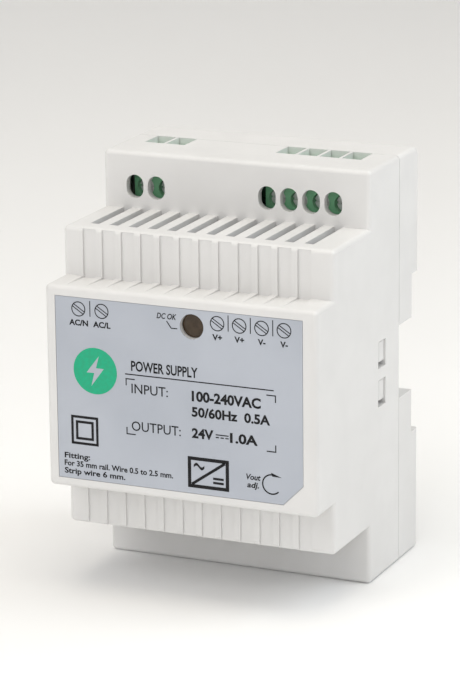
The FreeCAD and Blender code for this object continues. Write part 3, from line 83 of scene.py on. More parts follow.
class Finish:
    """A procedural finish: one Principled shader and the nodes that vary it over the surface."""

    def __init__(self, name):
        self.material = bpy.data.materials.new(name)
        self.material.use_nodes = True
        self.tree = self.material.node_tree
        self.shader = self.tree.nodes["Principled BSDF"]
        self.place = self.tree.nodes.new("ShaderNodeTexCoord").outputs["Object"]

    def set(self, **values):
        """Fixed values on the shader's own sockets."""
        for socket, value in values.items():
            self.shader.inputs[socket.replace("_", " ")].default_value = value

    def link(self, output, socket):
        self.tree.links.new(output, self.shader.inputs[socket])

    def stretched(self, stretch):
        """Object coordinates stretched along the axes, so that a pattern runs one way."""
        mapping = self.tree.nodes.new("ShaderNodeMapping")
        mapping.inputs["Scale"].default_value = stretch
        self.tree.links.new(self.place, mapping.inputs["Vector"])
        return mapping.outputs["Vector"]

    def noise(self, grain, detail=3.0, stretch=(1, 1, 1)):
        """Noise whose features are about one grain across, in metres."""
        node = self.tree.nodes.new("ShaderNodeTexNoise")
        node.inputs["Scale"].default_value = 1.0 / grain
        node.inputs["Detail"].default_value = detail
        self.tree.links.new(self.stretched(stretch), node.inputs["Vector"])
        return node.outputs["Fac"]

    def bands(self, width, axis="X", warp=0.0):
        """Even bands across one axis, a band to each width in metres."""
        node = self.tree.nodes.new("ShaderNodeTexWave")
        node.bands_direction = axis
        node.inputs["Scale"].default_value = BAND_SCALE / width
        node.inputs["Distortion"].default_value = warp
        self.tree.links.new(self.place, node.inputs["Vector"])
        return node.outputs["Fac"]

    def ramp(self, factor, low, high, start=0.35, end=0.65):
        """A colour that goes from low to high as the factor goes from start to end."""
        node = self.tree.nodes.new("ShaderNodeValToRGB")
        for stop, position, colour in zip(node.color_ramp.elements, (start, end), (low, high)):
            stop.position = position
            stop.color = colour
        self.tree.links.new(factor, node.inputs["Fac"])
        return node.outputs["Color"]

    def remap(self, factor, low, high, start=0.3, end=0.7):
        """A plain number that goes from low to high as the factor goes from start to end."""
        node = self.tree.nodes.new("ShaderNodeMapRange")
        limits = {"From Min": start, "From Max": end, "To Min": low, "To Max": high}
        for socket, value in limits.items():
            node.inputs[socket].default_value = value
        self.tree.links.new(factor, node.inputs["Value"])
        return node.outputs["Result"]

    def relief(self, factor, height, strength=1.0):
        """Bump of that height in metres."""
        node = self.tree.nodes.new("ShaderNodeBump")
        node.inputs["Distance"].default_value = height
        node.inputs["Strength"].default_value = strength
        self.tree.links.new(factor, node.inputs["Height"])
        self.tree.links.new(node.outputs["Normal"], self.shader.inputs["Normal"])


def coated(name, light, deep, cloud, rough, grain, ripple, height, strength, cloud_detail=3.0):
    """Clouded colour, a sheen that varies over one grain, and ripples of one height."""
    finish = Finish(name)
    finish.link(finish.ramp(finish.noise(cloud, cloud_detail), deep, light), "Base Color")
    finish.link(finish.remap(finish.noise(grain), *rough), "Roughness")
    finish.relief(finish.noise(ripple, 1.0), height, strength)
    return finish


def moulded(name, light, deep, rough=CASE_ROUGH, grain=CASE_GRAIN, height=CASE_RELIEF):
    """Moulded plastic: clouded colour, eroded grain, satin sheen."""
    finish = Finish(name)
    finish.link(finish.ramp(finish.noise(CASE_CLOUD), deep, light), "Base Color")
    fine = finish.noise(grain, detail=2.0)
    finish.link(finish.remap(fine, *rough), "Roughness")
    finish.relief(fine, height, strength=0.6)
    finish.set(IOR=PLASTIC_IOR)
    return finish.material


def finish_node(node, material):
    """Gives every material slot of a CAD node this finish."""
    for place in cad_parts[node].material_slots:
        place.material = material


def soften(node, radius):
    """Rounds a CAD node's sharp edges by that radius, as moulding does."""
    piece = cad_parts[node]
    weld = piece.modifiers.new("weld", "WELD")
    weld.merge_threshold = WELD_GAP
    bevel = piece.modifiers.new("edge_radius", "BEVEL")
    bevel.width = radius
    bevel.segments = 3
    bevel.profile = 0.5
    bevel.limit_method = "ANGLE"
    bevel.angle_limit = SHARP_ANGLE


case_plastic = moulded("case_grey_abs", CASE_GREY, CASE_GREY_DEEP)
for moulding in ("front_cover", "rear_base"):
    finish_node(moulding, case_plastic)
    soften(moulding, CASE_EDGE)


# ---------------------------------------------------------------- front label
# A printed polyester film, die cut with a cropped corner and a hole for the light pipe.
# It is stuck in a shallow seat on the nose of the cover. Its face is a cool silvery grey.
LABEL_LIGHT = (0.47, 0.50, 0.56, 1.0)
LABEL_DEEP = (0.425, 0.455, 0.515, 1.0)
LABEL_ROUGH = (0.36, 0.46)
label_film = coated("label_film_silver_grey", LABEL_LIGHT, LABEL_DEEP, cloud=20 * MM,
                    rough=LABEL_ROUGH, grain=0.6 * MM, ripple=0.9 * MM, height=0.006 * MM,
                    strength=0.4, cloud_detail=2.0)
label_film.set(IOR=1.48)
finish_node("front_label", label_film.material)
LABEL_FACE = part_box("front_label")[0][1]


# ---------------------------------------------------------------- printing on the label
# Screen printed in a near-black ink, a few hundredths of a millimetre thick, with one green.
# Screw symbols and marks for the six terminals stand in a row along the top edge.
# All places, heights and widths on the label are in millimetres.
INK_BLACK = (0.006, 0.006, 0.007, 1.0)
INK_SHADE = (0.014, 0.014, 0.016, 1.0)
INK_ROUGH = (0.35, 0.5)
INK_SPECULAR = 0.2
INK_HEIGHT = 0.03 * MM
INK_SUNK = 0.01 * MM
LETTER_STEPS = 3
SAME_PLACE = 0.0001 * MM


def ink(name, colour, shade):
    """Screen ink: dense, slightly glossy, with a fine mottle from the mesh."""
    finish = coated(name, shade, colour, cloud=0.8 * MM, rough=INK_ROUGH, grain=0.4 * MM,
                    ripple=0.15 * MM, height=0.003 * MM, strength=0.5)
    finish.set(Specular_IOR_Level=INK_SPECULAR)
    return finish.material


def sheet_from(curve, half_height=INK_HEIGHT / 2):
    """The filled curve as a mesh, half_height thick each way."""
    curve.extrude = half_height
    holder = bpy.data.objects.new("holder", curve)
    bpy.context.collection.objects.link(holder)
    mesh = bpy.data.meshes.new_from_object(holder)
    bpy.data.objects.remove(holder)
    return mesh


def flat_mesh(outlines):
    """A filled sheet of ink in the XY plane from closed outlines; an inner one is a hole."""
    curve = bpy.data.curves.new("outline", "CURVE")
    curve.dimensions = "2D"
    curve.fill_mode = "BOTH"
    for outline in outlines:
        spline = curve.splines.new("POLY")
        spline.points.add(len(outline) - 1)
        for point, (x, z) in zip(spline.points, outline):
            point.co = (x * MM, z * MM, 0, 1)
        spline.use_cyclic_u = True
    return sheet_from(curve)


def text_mesh(words, left, right, baseline, capital, weight=0.0, slant=0.0):
    """Lettering fitted between two sides, its capitals that high."""
    curve = bpy.data.curves.new("lettering", "FONT")
    curve.body = "H"
    unit = sheet_from(curve.copy())
    height = max(v.co.y for v in unit.vertices) - min(v.co.y for v in unit.vertices)
    curve.body = words
    curve.offset = weight
    curve.shear = slant
    curve.resolution_u = LETTER_STEPS
    mesh = sheet_from(curve, 0.5)
    xs = [v.co.x for v in mesh.vertices]
    across = (right - left) * MM / (max(xs) - min(xs))
    mesh.transform(Matrix.Translation((-min(xs), 0, 0)))
    mesh.transform(Matrix.Diagonal((across, capital * MM / height, INK_HEIGHT, 1)))
    mesh.transform(Matrix.Translation((left * MM, baseline * MM, 0)))
    return mesh


def printed(name, meshes, material):
    """Joins flat meshes into one print on the label's face, upright and facing forward."""
    work = bmesh.new()
    for mesh in meshes:
        work.from_mesh(mesh)
    bmesh.ops.remove_doubles(work, verts=work.verts, dist=SAME_PLACE)
    bmesh.ops.recalc_face_normals(work, faces=work.faces)
    turn = Matrix.Rotation(math.pi / 2, 4, "X")
    shift = Matrix.Translation((0, LABEL_FACE + INK_SUNK - INK_HEIGHT / 2, 0))
    bmesh.ops.transform(work, matrix=shift @ turn, verts=work.verts)
    mesh = bpy.data.meshes.new(name)
    work.to_mesh(mesh)
    work.free()
    mesh.materials.append(material)
    piece = bpy.data.objects.new(name, mesh)
    bpy.context.collection.objects.link(piece)
    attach(piece, "case")


def arc(x, z, radius, start, end, steps=24):
    """Points along an arc, angles in degrees."""
    turns = [math.radians(start + (end - start) * i / steps) for i in range(steps + 1)]
    return [(x + radius * math.cos(a), z + radius * math.sin(a)) for a in turns]


def stroke(x1, z1, x2, z2, width):
    """A straight line of ink."""
    along = Vector((x2 - x1, z2 - z1)).normalized() * width / 2
    side = Vector((-along.y, along.x))
    return [(x1 + side.x, z1 + side.y), (x1 - side.x, z1 - side.y),
            (x2 - side.x, z2 - side.y), (x2 + side.x, z2 + side.y)]


SYMBOL_RADIUS = 1.62
SYMBOL_INNER = 1.40
SYMBOL_SLOT = 0.36
SYMBOL_LINE = 0.2
SYMBOL_TURN = -33
SYMBOL_Z = 17.6
BAR_TOP = 19.55
BAR_BOTTOM = 16.2
BAR_WIDTH = 0.2
BAR_PAIRS = ((0, 1), (2, 3), (3, 4), (4, 5))
MARK_BASE = 14.1
MARK_HEIGHT = 1.15
MARK_WEIGHT = 0.034
# Each mark: words, left side, right side.
MARKS = (("AC/N", -25.05, -20.7), ("AC/L", -19.55, -15.55), ("V+", 7.5, 9.7),
         ("V+", 12.4, 14.6), ("V-", 17.6, 19.3), ("V-", 22.55, 24.2))
black_ink = ink("label_ink_black", INK_BLACK, INK_SHADE)


def screw_symbol(x):
    """A ring with a slanted slot between two lines, seen from above as a screw head."""
    cut = math.degrees(math.asin((SYMBOL_SLOT / 2 + SYMBOL_LINE) / SYMBOL_INNER))
    slot = math.degrees(math.asin(SYMBOL_SLOT / 2 / SYMBOL_INNER))
    near, far = SYMBOL_TURN, SYMBOL_TURN + 180
    upper = arc(x, SYMBOL_Z, SYMBOL_INNER, near + cut, far - cut)
    lower = arc(x, SYMBOL_Z, SYMBOL_INNER, far + cut, near + 360 - cut)
    strip = (arc(x, SYMBOL_Z, SYMBOL_INNER, near - slot, near + slot, 2)
             + arc(x, SYMBOL_Z, SYMBOL_INNER, far - slot, far + slot, 2))
    rim = arc(x, SYMBOL_Z, SYMBOL_RADIUS, 0, 345, 23)
    return [rim, upper, lower, strip]


terminal_prints = []
symbol_places = []
for words, left, right in MARKS:
    symbol_places.append((left + right) / 2)
    terminal_prints.append(flat_mesh(screw_symbol((left + right) / 2)))
    terminal_prints.append(text_mesh(words, left, right, MARK_BASE, MARK_HEIGHT, MARK_WEIGHT))
for first, second in BAR_PAIRS:
    middle = (symbol_places[first] + symbol_places[second]) / 2
    terminal_prints.append(flat_mesh([stroke(middle, BAR_BOTTOM, middle, BAR_TOP, BAR_WIDTH)]))
printed("label_terminal_marks", terminal_prints, black_ink)


# ---------------------------------------------------------------- heading and ratings
# Black lettering in the middle of the label: a heading over a rule, then the input and output
# rows between four corner brackets. The words and figures are plain generic ones.
THIN_LINE = 0.24
RULE = (-12.42, 4.76, 21.03, 4.76)
# Each row: words, left side, right side, baseline, height of a capital, added weight.
HEADING_ROW = ("POWER SUPPLY", -11.0, 4.1, 5.62, 2.05, 0.022)
RATING_ROWS = (
    ("INPUT:", -11.0, -2.7, 0.8, 2.0, 0.004),
    ("100-240VAC", 2.7, 18.15, 0.65, 2.02, 0.036),
    ("50/60Hz  0.5A", 2.65, 20.2, -2.65, 1.9, 0.034),
    ("OUTPUT:", -11.1, 0.1, -7.28, 2.0, 0.004),
    ("24V", 2.62, 7.5, -7.22, 1.92, 0.036),
    ("1.0A", 11.2, 17.4, -7.3, 1.92, 0.036),
)
DIRECT_LINE = (8.0, -6.05, 10.9, -6.05)
DASH_Z = -6.62
DASH_LENGTH = 0.75
DASH_PITCH = 1.08
DASHES = 3
# Each bracket: its corner, then the way its arms run across and down.
BRACKETS = ((-12.2, 3.75, 1, -1), (21.4, 3.68, -1, -1), (21.4, -8.25, -1, 1), (-12.2, -8.13, 1, 1))
BRACKET_ARM = 2.0
BRACKET_DROP = 1.45
printed("label_heading", [text_mesh(*HEADING_ROW), flat_mesh([stroke(*RULE, THIN_LINE)])],
        black_ink)
ratings = [text_mesh(*rating) for rating in RATING_ROWS]
ratings.append(flat_mesh([stroke(*DIRECT_LINE, THIN_LINE)]))
dash_starts = [DIRECT_LINE[0] + i * DASH_PITCH for i in range(DASHES)]
ratings.append(flat_mesh([stroke(x, DASH_Z, x + DASH_LENGTH, DASH_Z, THIN_LINE)
                          for x in dash_starts]))
for x, z, across, down in BRACKETS:
    half = THIN_LINE / 2
    corner = [(x - across * half, z - down * half), (x + across * BRACKET_ARM, z - down * half),
              (x + across * BRACKET_ARM, z + down * half), (x + across * half, z + down * half),
              (x + across * half, z + down * BRACKET_DROP),
              (x - across * half, z + down * BRACKET_DROP)]
    ratings.append(flat_mesh([corner]))
printed("label_ratings", ratings, black_ink)


# ---------------------------------------------------------------- small marks on the label
# The pointer to the indicator, the double square of protective insulation, a converter symbol,
# three lines of plain mounting notes, and the turning arrow over the voltage adjuster.
SMALL_CAPITAL = 1.15
SMALL_WEIGHT = 0.026
POINTER_LINE = 0.22
POINTER_TEXT = ("DC OK", -5.0, -0.5, 17.45, SMALL_CAPITAL, 0.02, 0.25)
POINTER_STROKES = ((-2.75, 17.05, -1.72, 15.6), (-1.78, 15.6, -0.35, 15.62))
pointer = [text_mesh(*POINTER_TEXT)]
pointer += [flat_mesh([stroke(*line, POINTER_LINE)]) for line in POINTER_STROKES]
printed("label_indicator_pointer", pointer, black_ink)

# Each square of the insulation mark: its outer side and the width of its line.
SQUARES = ((6.3, 0.55), (4.15, 0.55))
SQUARE_X = -21.98
SQUARE_Z = -8.6


def square(side):
    """Corners of a square about the middle of the insulation mark."""
    half = side / 2
    return [(SQUARE_X - half, SQUARE_Z - half), (SQUARE_X + half, SQUARE_Z - half),
            (SQUARE_X + half, SQUARE_Z + half), (SQUARE_X - half, SQUARE_Z + half)]


insulation = [flat_mesh([square(side), square(side - 2 * line)]) for side, line in SQUARES]
printed("label_insulation_mark", insulation, black_ink)

# Each note: words, left side, right side, baseline.
NOTE_ROWS = (
    ("Fitting:", -26.85, -20.9, -14.95),
    ("For 35 mm rail. Wire 0.5 to 2.5 mm.", -26.9, -1.8, -16.62),
    ("Strip wire 6 mm.", -26.9, -12.8, -18.3),
)
notes = [text_mesh(*note, SMALL_CAPITAL, SMALL_WEIGHT) for note in NOTE_ROWS]
printed("label_fitting_notes", notes, black_ink)

FRAME_LEFT = 1.6
FRAME_RIGHT = 10.9
FRAME_BOTTOM = -18.05
FRAME_TOP = -11.35
FRAME_LINE = 0.75
SLASH_INSET = 0.9
SLASH_LINE = 0.6
WAVE_LEFT = 2.95
WAVE_MIDDLE = -13.35
WAVE_LENGTH = 2.4
WAVE_HEIGHT = 0.45
WAVE_LINE = 0.62
WAVE_STEPS = 16
DIRECT_BARS = ((7.3, -15.6, 9.7, -15.6), (7.3, -16.5, 9.7, -16.5))
DIRECT_BAR_LINE = 0.5


def inset_box(by):
    """The corners of the converter symbol's frame, set in from its outside."""
    return [(FRAME_LEFT + by, FRAME_BOTTOM + by), (FRAME_RIGHT - by, FRAME_BOTTOM + by),
            (FRAME_RIGHT - by, FRAME_TOP - by), (FRAME_LEFT + by, FRAME_TOP - by)]


slash = stroke(FRAME_LEFT + SLASH_INSET, FRAME_BOTTOM + FRAME_LINE, FRAME_RIGHT - SLASH_INSET,
               FRAME_TOP - FRAME_LINE, SLASH_LINE)
wave = [(WAVE_LEFT + WAVE_LENGTH * i / WAVE_STEPS,
         WAVE_MIDDLE + WAVE_HEIGHT * math.sin(2 * math.pi * i / WAVE_STEPS))
        for i in range(WAVE_STEPS + 1)]
wave_band = ([(x, z + WAVE_LINE / 2) for x, z in wave]
             + [(x, z - WAVE_LINE / 2) for x, z in reversed(wave)])
converter = [flat_mesh([inset_box(0), inset_box(FRAME_LINE)]), flat_mesh([slash]),
             flat_mesh([wave_band])]
converter += [flat_mesh([stroke(*bar, DIRECT_BAR_LINE)]) for bar in DIRECT_BARS]
printed("label_converter_symbol", converter, black_ink)

ARROW_X = 20.5
ARROW_Z = -15.25
ARROW_RADIUS = 2.07
ARROW_LINE = 0.3
ARROW_TURN = (85, 315)
ARROW_HEAD = ((20.3, -12.75), (22.7, -13.6), (20.6, -13.55))
ADJUST_SLANT = 0.2
ADJUST_ROWS = (("Vout", 14.75, 18.0, -14.75), ("adj.", 14.95, 17.6, -16.45))
arrow_start, arrow_end = ARROW_TURN
arrow = (arc(ARROW_X, ARROW_Z, ARROW_RADIUS + ARROW_LINE / 2, arrow_start, arrow_end)
         + arc(ARROW_X, ARROW_Z, ARROW_RADIUS - ARROW_LINE / 2, arrow_end, arrow_start))
adjuster_print = [text_mesh(*adjust, SMALL_CAPITAL, SMALL_WEIGHT, ADJUST_SLANT)
                  for adjust in ADJUST_ROWS]
adjuster_print += [flat_mesh([arrow]), flat_mesh([ARROW_HEAD])]
printed("label_adjust_arrow", adjuster_print, black_ink)


# ---------------------------------------------------------------- green badge
# A solid green disc screen printed at the left of the label, with a bolt left clear in it
# so that the grey film shows through as the symbol.
BADGE_X = -19.28
BADGE_Z = 4.6
BADGE_RADIUS = 5.0
BADGE_STEPS = 60
BADGE_GREEN = (0.022, 0.43, 0.235, 1.0)
BADGE_SHADE = (0.03, 0.38, 0.21, 1.0)
BOLT = ((0.9, 3.3), (-2.0, -0.45), (-0.25, -0.45), (-0.95, -3.3), (2.0, 0.65), (0.2, 0.65))
disc = arc(BADGE_X, BADGE_Z, BADGE_RADIUS, 0, 360 - 360 / BADGE_STEPS, BADGE_STEPS - 1)
bolt = [(BADGE_X + x, BADGE_Z + z) for x, z in BOLT]
printed("label_green_badge", [flat_mesh([disc, bolt])],
        ink("label_ink_green", BADGE_GREEN, BADGE_SHADE))


# ---------------------------------------------------------------- light pipe
# A smoked polycarbonate pin that stands in a collar behind the label and carries the light
# of the status lamp to the front. Unlit, it is a glossy dark brown disc in its hole.
SMOKE = (0.040, 0.024, 0.012, 1.0)
SMOKE_LIGHT = (0.060, 0.038, 0.021, 1.0)
PIPE_ROUGH = (0.12, 0.2)
pipe = Finish("smoked_polycarbonate")
pipe.link(pipe.ramp(pipe.noise(1.5 * MM), SMOKE, SMOKE_LIGHT), "Base Color")
pipe.link(pipe.remap(pipe.noise(0.4 * MM), *PIPE_ROUGH), "Roughness")
pipe.relief(pipe.noise(0.7 * MM), height=0.008 * MM, strength=0.4)
pipe.set(IOR=1.58, Specular_IOR_Level=0.3)
finish_node("light_pipe", pipe.material)


# ---------------------------------------------------------------- rail latch and its spring
# The latch is a grey acetal slide in the back of the base, with a slot for a screwdriver.
# A steel coil spring stands between the base's lug and the top of the latch's window.
LATCH_GREY = (0.60, 0.60, 0.59, 1.0)
LATCH_DEEP = (0.55, 0.55, 0.545, 1.0)
LATCH_ROUGH = (0.34, 0.46)
WIRE_LIGHT = (0.66, 0.65, 0.63, 1.0)
WIRE_DEEP = (0.52, 0.51, 0.50, 1.0)
SPRING_WIRE = 0.35 * MM
SPRING_RADIUS = 0.95 * MM
SPRING_END_PITCH = 0.37 * MM
SPRING_TURNS = 6
SPRING_STEPS = 28
WIRE_SIDES = 10
METAL_CLOUD = 3 * MM


def metal(name, light, deep, rough=(0.25, 0.4), grain=0.4 * MM, stretch=(1, 1, 1),
          height=0.004 * MM, metallic=1.0):
    """Plated or bare metal with fine scratches or grain."""
    finish = Finish(name)
    finish.link(finish.ramp(finish.noise(METAL_CLOUD), deep, light), "Base Color")
    fine = finish.noise(grain, 4.0, stretch)
    finish.link(finish.remap(fine, *rough), "Roughness")
    finish.relief(fine, height, strength=0.5)
    finish.set(Metallic=metallic)
    return finish.material


def piece_from(name, work, material):
    """Turns a bmesh into a smooth finished piece."""
    mesh = bpy.data.meshes.new(name)
    work.to_mesh(mesh)
    work.free()
    for face in mesh.polygons:
        face.use_smooth = True
    mesh.materials.append(material)
    piece = bpy.data.objects.new(name, mesh)
    bpy.context.collection.objects.link(piece)
    return piece


finish_node("din_latch", moulded("latch_grey_acetal", LATCH_GREY, LATCH_DEEP, LATCH_ROUGH))
spring_low, spring_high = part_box("latch_spring")
spring_x = (spring_low[0] + spring_high[0]) / 2
spring_y = (spring_low[1] + spring_high[1]) / 2
spring_length = spring_high[2] - spring_low[2]
open_pitch = (spring_length - SPRING_WIRE - 2 * SPRING_END_PITCH) / SPRING_TURNS
coil = bmesh.new()
start = Matrix.Translation((spring_x + SPRING_RADIUS, spring_y, spring_low[2] + SPRING_WIRE / 2))
ring = bmesh.ops.create_circle(coil, cap_ends=False, radius=SPRING_WIRE / 2, segments=WIRE_SIDES,
                               matrix=start @ Matrix.Rotation(math.pi / 2, 4, "X"))
edges = list(dict.fromkeys(edge for vert in ring["verts"] for edge in vert.link_edges))
first_edges = edges
for turns, pitch in ((1, SPRING_END_PITCH), (SPRING_TURNS, open_pitch), (1, SPRING_END_PITCH)):
    swept = bmesh.ops.spin(coil, geom=edges, cent=(spring_x, spring_y, 0), axis=(0, 0, 1),
                           dvec=(0, 0, pitch / SPRING_STEPS), angle=turns * 2 * math.pi,
                           steps=turns * SPRING_STEPS, use_merge=False)
    edges = [item for item in swept["geom_last"] if isinstance(item, bmesh.types.BMEdge)]
for end in (first_edges, edges):
    bmesh.ops.contextual_create(coil, geom=end)
bmesh.ops.recalc_face_normals(coil, faces=coil.faces)
spring = piece_from("latch_spring_coil", coil, metal("spring_wire_steel", WIRE_LIGHT, WIRE_DEEP))
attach(spring, "case")
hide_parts("latch_spring")
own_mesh(spring)


# ---------------------------------------------------------------- circuit board
# A glass epoxy board under green solder mask, with its tracks showing as a lighter pattern.
# Four pan head screws hold it on bosses in the base, over a pale amber insulating sheet.
MASK_GREEN = (0.012, 0.14, 0.06, 1.0)
MASK_GREEN_PALE = (0.014, 0.16, 0.066, 1.0)
TRACK_GREEN = (0.02, 0.21, 0.085, 1.0)
TRACK_SCALE = 120.0
TRACK_WIDTH = 0.05
ZINC_LIGHT = (0.90, 0.90, 0.88, 1.0)
ZINC_DEEP = (0.76, 0.77, 0.77, 1.0)
SHEET_LIGHT = (0.60, 0.54, 0.40, 1.0)
SHEET_DEEP = (0.50, 0.44, 0.30, 1.0)
board = Finish("board_green_mask")
tracks = board.tree.nodes.new("ShaderNodeTexBrick")
for socket, value in {"Scale": TRACK_SCALE, "Color1": MASK_GREEN, "Color2": MASK_GREEN_PALE,
                      "Mortar": TRACK_GREEN, "Mortar Size": TRACK_WIDTH}.items():
    tracks.inputs[socket].default_value = value
turned = board.tree.nodes.new("ShaderNodeMapping")
turned.inputs["Rotation"].default_value = (math.pi / 2, 0, 0)
board.tree.links.new(board.place, turned.inputs["Vector"])
board.tree.links.new(turned.outputs["Vector"], tracks.inputs["Vector"])
board.link(tracks.outputs["Color"], "Base Color")
board.link(board.remap(board.noise(0.8 * MM), 0.28, 0.4), "Roughness")
board.relief(tracks.outputs["Fac"], height=0.03 * MM, strength=0.6)
finish_node("main_board", board.material)
zinc_steel = metal("zinc_plated_steel", ZINC_LIGHT, ZINC_DEEP, rough=(0.4, 0.55),
                   grain=0.5 * MM, metallic=0.6)
finish_node("board_screws", zinc_steel)
sheet = Finish("insulating_film_amber")
sheet.link(sheet.ramp(sheet.noise(6 * MM), SHEET_DEEP, SHEET_LIGHT), "Base Color")
sheet.link(sheet.remap(sheet.noise(0.8 * MM), 0.25, 0.4), "Roughness")
sheet.relief(sheet.noise(4 * MM), height=0.01 * MM, strength=0.4)
finish_node("insulating_sheet", sheet.material)


# ---------------------------------------------------------------- terminal blocks
# Two- and four-pole blocks moulded in green polyamide. Each pole has a captive plated clamp
# screw, a steel cage that climbs on it, and a tinned bar that the wire is pressed against.
TERMINAL_GREEN = (0.25, 0.62, 0.34, 1.0)
TERMINAL_DEEP = (0.21, 0.54, 0.29, 1.0)
TERMINAL_ROUGH = (0.36, 0.5)
CAGE_LIGHT = (0.62, 0.63, 0.62, 1.0)
CAGE_DEEP = (0.48, 0.49, 0.49, 1.0)
TIN_LIGHT = (0.74, 0.73, 0.70, 1.0)
TIN_DEEP = (0.62, 0.60, 0.56, 1.0)
TIN_ROUGH = (0.3, 0.42)
POLES = 6
green_polyamide = moulded("terminal_green_polyamide", TERMINAL_GREEN, TERMINAL_DEEP,
                          TERMINAL_ROUGH)
cage_steel = metal("cage_plated_steel", CAGE_LIGHT, CAGE_DEEP)
tinned = metal("tinned_copper", TIN_LIGHT, TIN_DEEP, TIN_ROUGH)
for side in ("input", "output"):
    finish_node(f"{side}_terminal_block", green_polyamide)
    finish_node(f"{side}_contact_bars", tinned)
for pole in range(1, POLES + 1):
    finish_node(f"terminal_screw_{pole}", zinc_steel)
    finish_node(f"clamp_cage_{pole}", cage_steel)


# ---------------------------------------------------------------- input side of the board
# A radial fuse, a blue varistor and a dark thermistor stand in a row by the input block.
# Below them are the boxed film capacitor, the toroidal line choke and the bridge rectifier,
# with the blue disc capacitor that bridges the two sides of the board.
FUSE_LIGHT = (0.03, 0.03, 0.032, 1.0)
FUSE_DEEP = (0.018, 0.018, 0.02, 1.0)
VARISTOR_LIGHT = (0.02, 0.10, 0.42, 1.0)
VARISTOR_DEEP = (0.015, 0.07, 0.32, 1.0)
THERMISTOR_LIGHT = (0.03, 0.085, 0.05, 1.0)
THERMISTOR_DEEP = (0.018, 0.055, 0.032, 1.0)
DISC_BLUE = (0.025, 0.16, 0.46, 1.0)
DISC_BLUE_DEEP = (0.02, 0.12, 0.38, 1.0)
CAPACITOR_LIGHT = (0.78, 0.55, 0.07, 1.0)
CAPACITOR_DEEP = (0.68, 0.46, 0.05, 1.0)
FERRITE_LIGHT = (0.05, 0.05, 0.053, 1.0)
FERRITE_DEEP = (0.03, 0.03, 0.032, 1.0)
COPPER_LIGHT = (0.62, 0.24, 0.09, 1.0)
# Darker copper painted as the shade in the grooves between neighbouring wire turns.
COPPER_GROOVE_SHADE = (0.30, 0.095, 0.03, 1.0)
EPOXY_LIGHT = (0.032, 0.032, 0.034, 1.0)
EPOXY_DEEP = (0.02, 0.02, 0.021, 1.0)
CHOKE_WIRE = 0.9 * MM


def dipped(name, light, deep):
    """The lumpy, glossy epoxy coat of a dipped part."""
    return coated(name, light, deep, cloud=4 * MM, rough=(0.22, 0.36), grain=1.5 * MM,
                  ripple=1.8 * MM, height=0.06 * MM, strength=0.6).material


def film(name, light, deep, rough=(0.3, 0.42)):
    """Smooth coloured film or casing with a faint cloud and shallow ripples."""
    return coated(name, light, deep, cloud=5 * MM, rough=rough, grain=0.9 * MM,
                  ripple=3 * MM, height=0.02 * MM, strength=0.4).material


def winding(name, width, axis):
    """Enamelled wire laid side by side, a band to each turn, its colour darkened by painted shade
    in the groove between turns.
    """
    finish = Finish(name)
    turns = finish.bands(width, axis, warp=0.15)
    # Painted shade: the copper colour darkens towards each groove between turns.
    finish.link(finish.ramp(turns, COPPER_GROOVE_SHADE, COPPER_LIGHT, start=0.1, end=0.7), "Base Color")
    finish.link(finish.remap(finish.noise(1 * MM), 0.25, 0.4), "Roughness")
    finish.relief(turns, height=0.2 * MM, strength=0.9)
    finish.set(Metallic=0.75)
    return finish.material


ferrite = moulded("ferrite_dark_grey", FERRITE_LIGHT, FERRITE_DEEP, rough=(0.5, 0.68),
                  grain=0.3 * MM, height=0.03 * MM)
epoxy_black = moulded("moulded_epoxy_black", EPOXY_LIGHT, EPOXY_DEEP, rough=(0.45, 0.6),
                      grain=0.18 * MM, height=0.012 * MM)
finish_node("fuse", moulded("fuse_black_thermoplastic", FUSE_LIGHT, FUSE_DEEP))
finish_node("varistor", dipped("varistor_blue_epoxy", VARISTOR_LIGHT, VARISTOR_DEEP))
finish_node("inrush_thermistor",
            dipped("thermistor_green_epoxy", THERMISTOR_LIGHT, THERMISTOR_DEEP))
finish_node("x_capacitor", film("film_capacitor_yellow", CAPACITOR_LIGHT, CAPACITOR_DEEP))
finish_node("line_choke_core", ferrite)
finish_node("line_choke_windings", winding("choke_enamelled_wire", CHOKE_WIRE, "Z"))
finish_node("bridge_rectifier", epoxy_black)
finish_node("y_capacitor", dipped("y_capacitor_blue_epoxy", DISC_BLUE, DISC_BLUE_DEEP))


# ---------------------------------------------------------------- power stage
# The bulk capacitor in its printed sleeve, the switch and the rectifier on their aluminium
# plates, and the transformer: ferrite core, bobbin, copper winding and yellow tape.
SLEEVE_BLACK = (0.016, 0.017, 0.022, 1.0)
SLEEVE_STRIPE = (0.55, 0.56, 0.58, 1.0)
STRIPE_SHARE = 0.22
STRIPE_EDGE = 0.2 * MM
ALUMINIUM_LIGHT = (0.80, 0.80, 0.81, 1.0)
ALUMINIUM_DEEP = (0.68, 0.68, 0.69, 1.0)
ROLLED = (1, 14, 1)
BOBBIN_LIGHT = (0.04, 0.037, 0.034, 1.0)
BOBBIN_DEEP = (0.026, 0.024, 0.022, 1.0)
TRANSFORMER_WIRE = 0.7 * MM
TAPE_LIGHT = (0.86, 0.62, 0.10, 1.0)
TAPE_DEEP = (0.76, 0.52, 0.07, 1.0)
TAPE_ROUGH = (0.2, 0.3)


def sleeve(name, edge):
    """A shrink sleeve with a lighter stripe down the side past that edge, by the negative lead."""
    finish = Finish(name)
    split = finish.tree.nodes.new("ShaderNodeSeparateXYZ")
    finish.tree.links.new(finish.place, split.inputs["Vector"])
    inside = finish.tree.nodes.new("ShaderNodeMapRange")
    inside.interpolation_type = "SMOOTHSTEP"
    inside.inputs["From Min"].default_value = edge - STRIPE_EDGE
    inside.inputs["From Max"].default_value = edge + STRIPE_EDGE
    finish.tree.links.new(split.outputs["X"], inside.inputs["Value"])
    stripe = finish.ramp(inside.outputs["Result"], SLEEVE_BLACK, SLEEVE_STRIPE, 0.45, 0.55)
    finish.link(stripe, "Base Color")
    finish.link(finish.remap(finish.noise(1.2 * MM), 0.24, 0.36), "Roughness")
    finish.relief(finish.noise(3.5 * MM, 1.0), height=0.03 * MM, strength=0.5)
    return finish.material


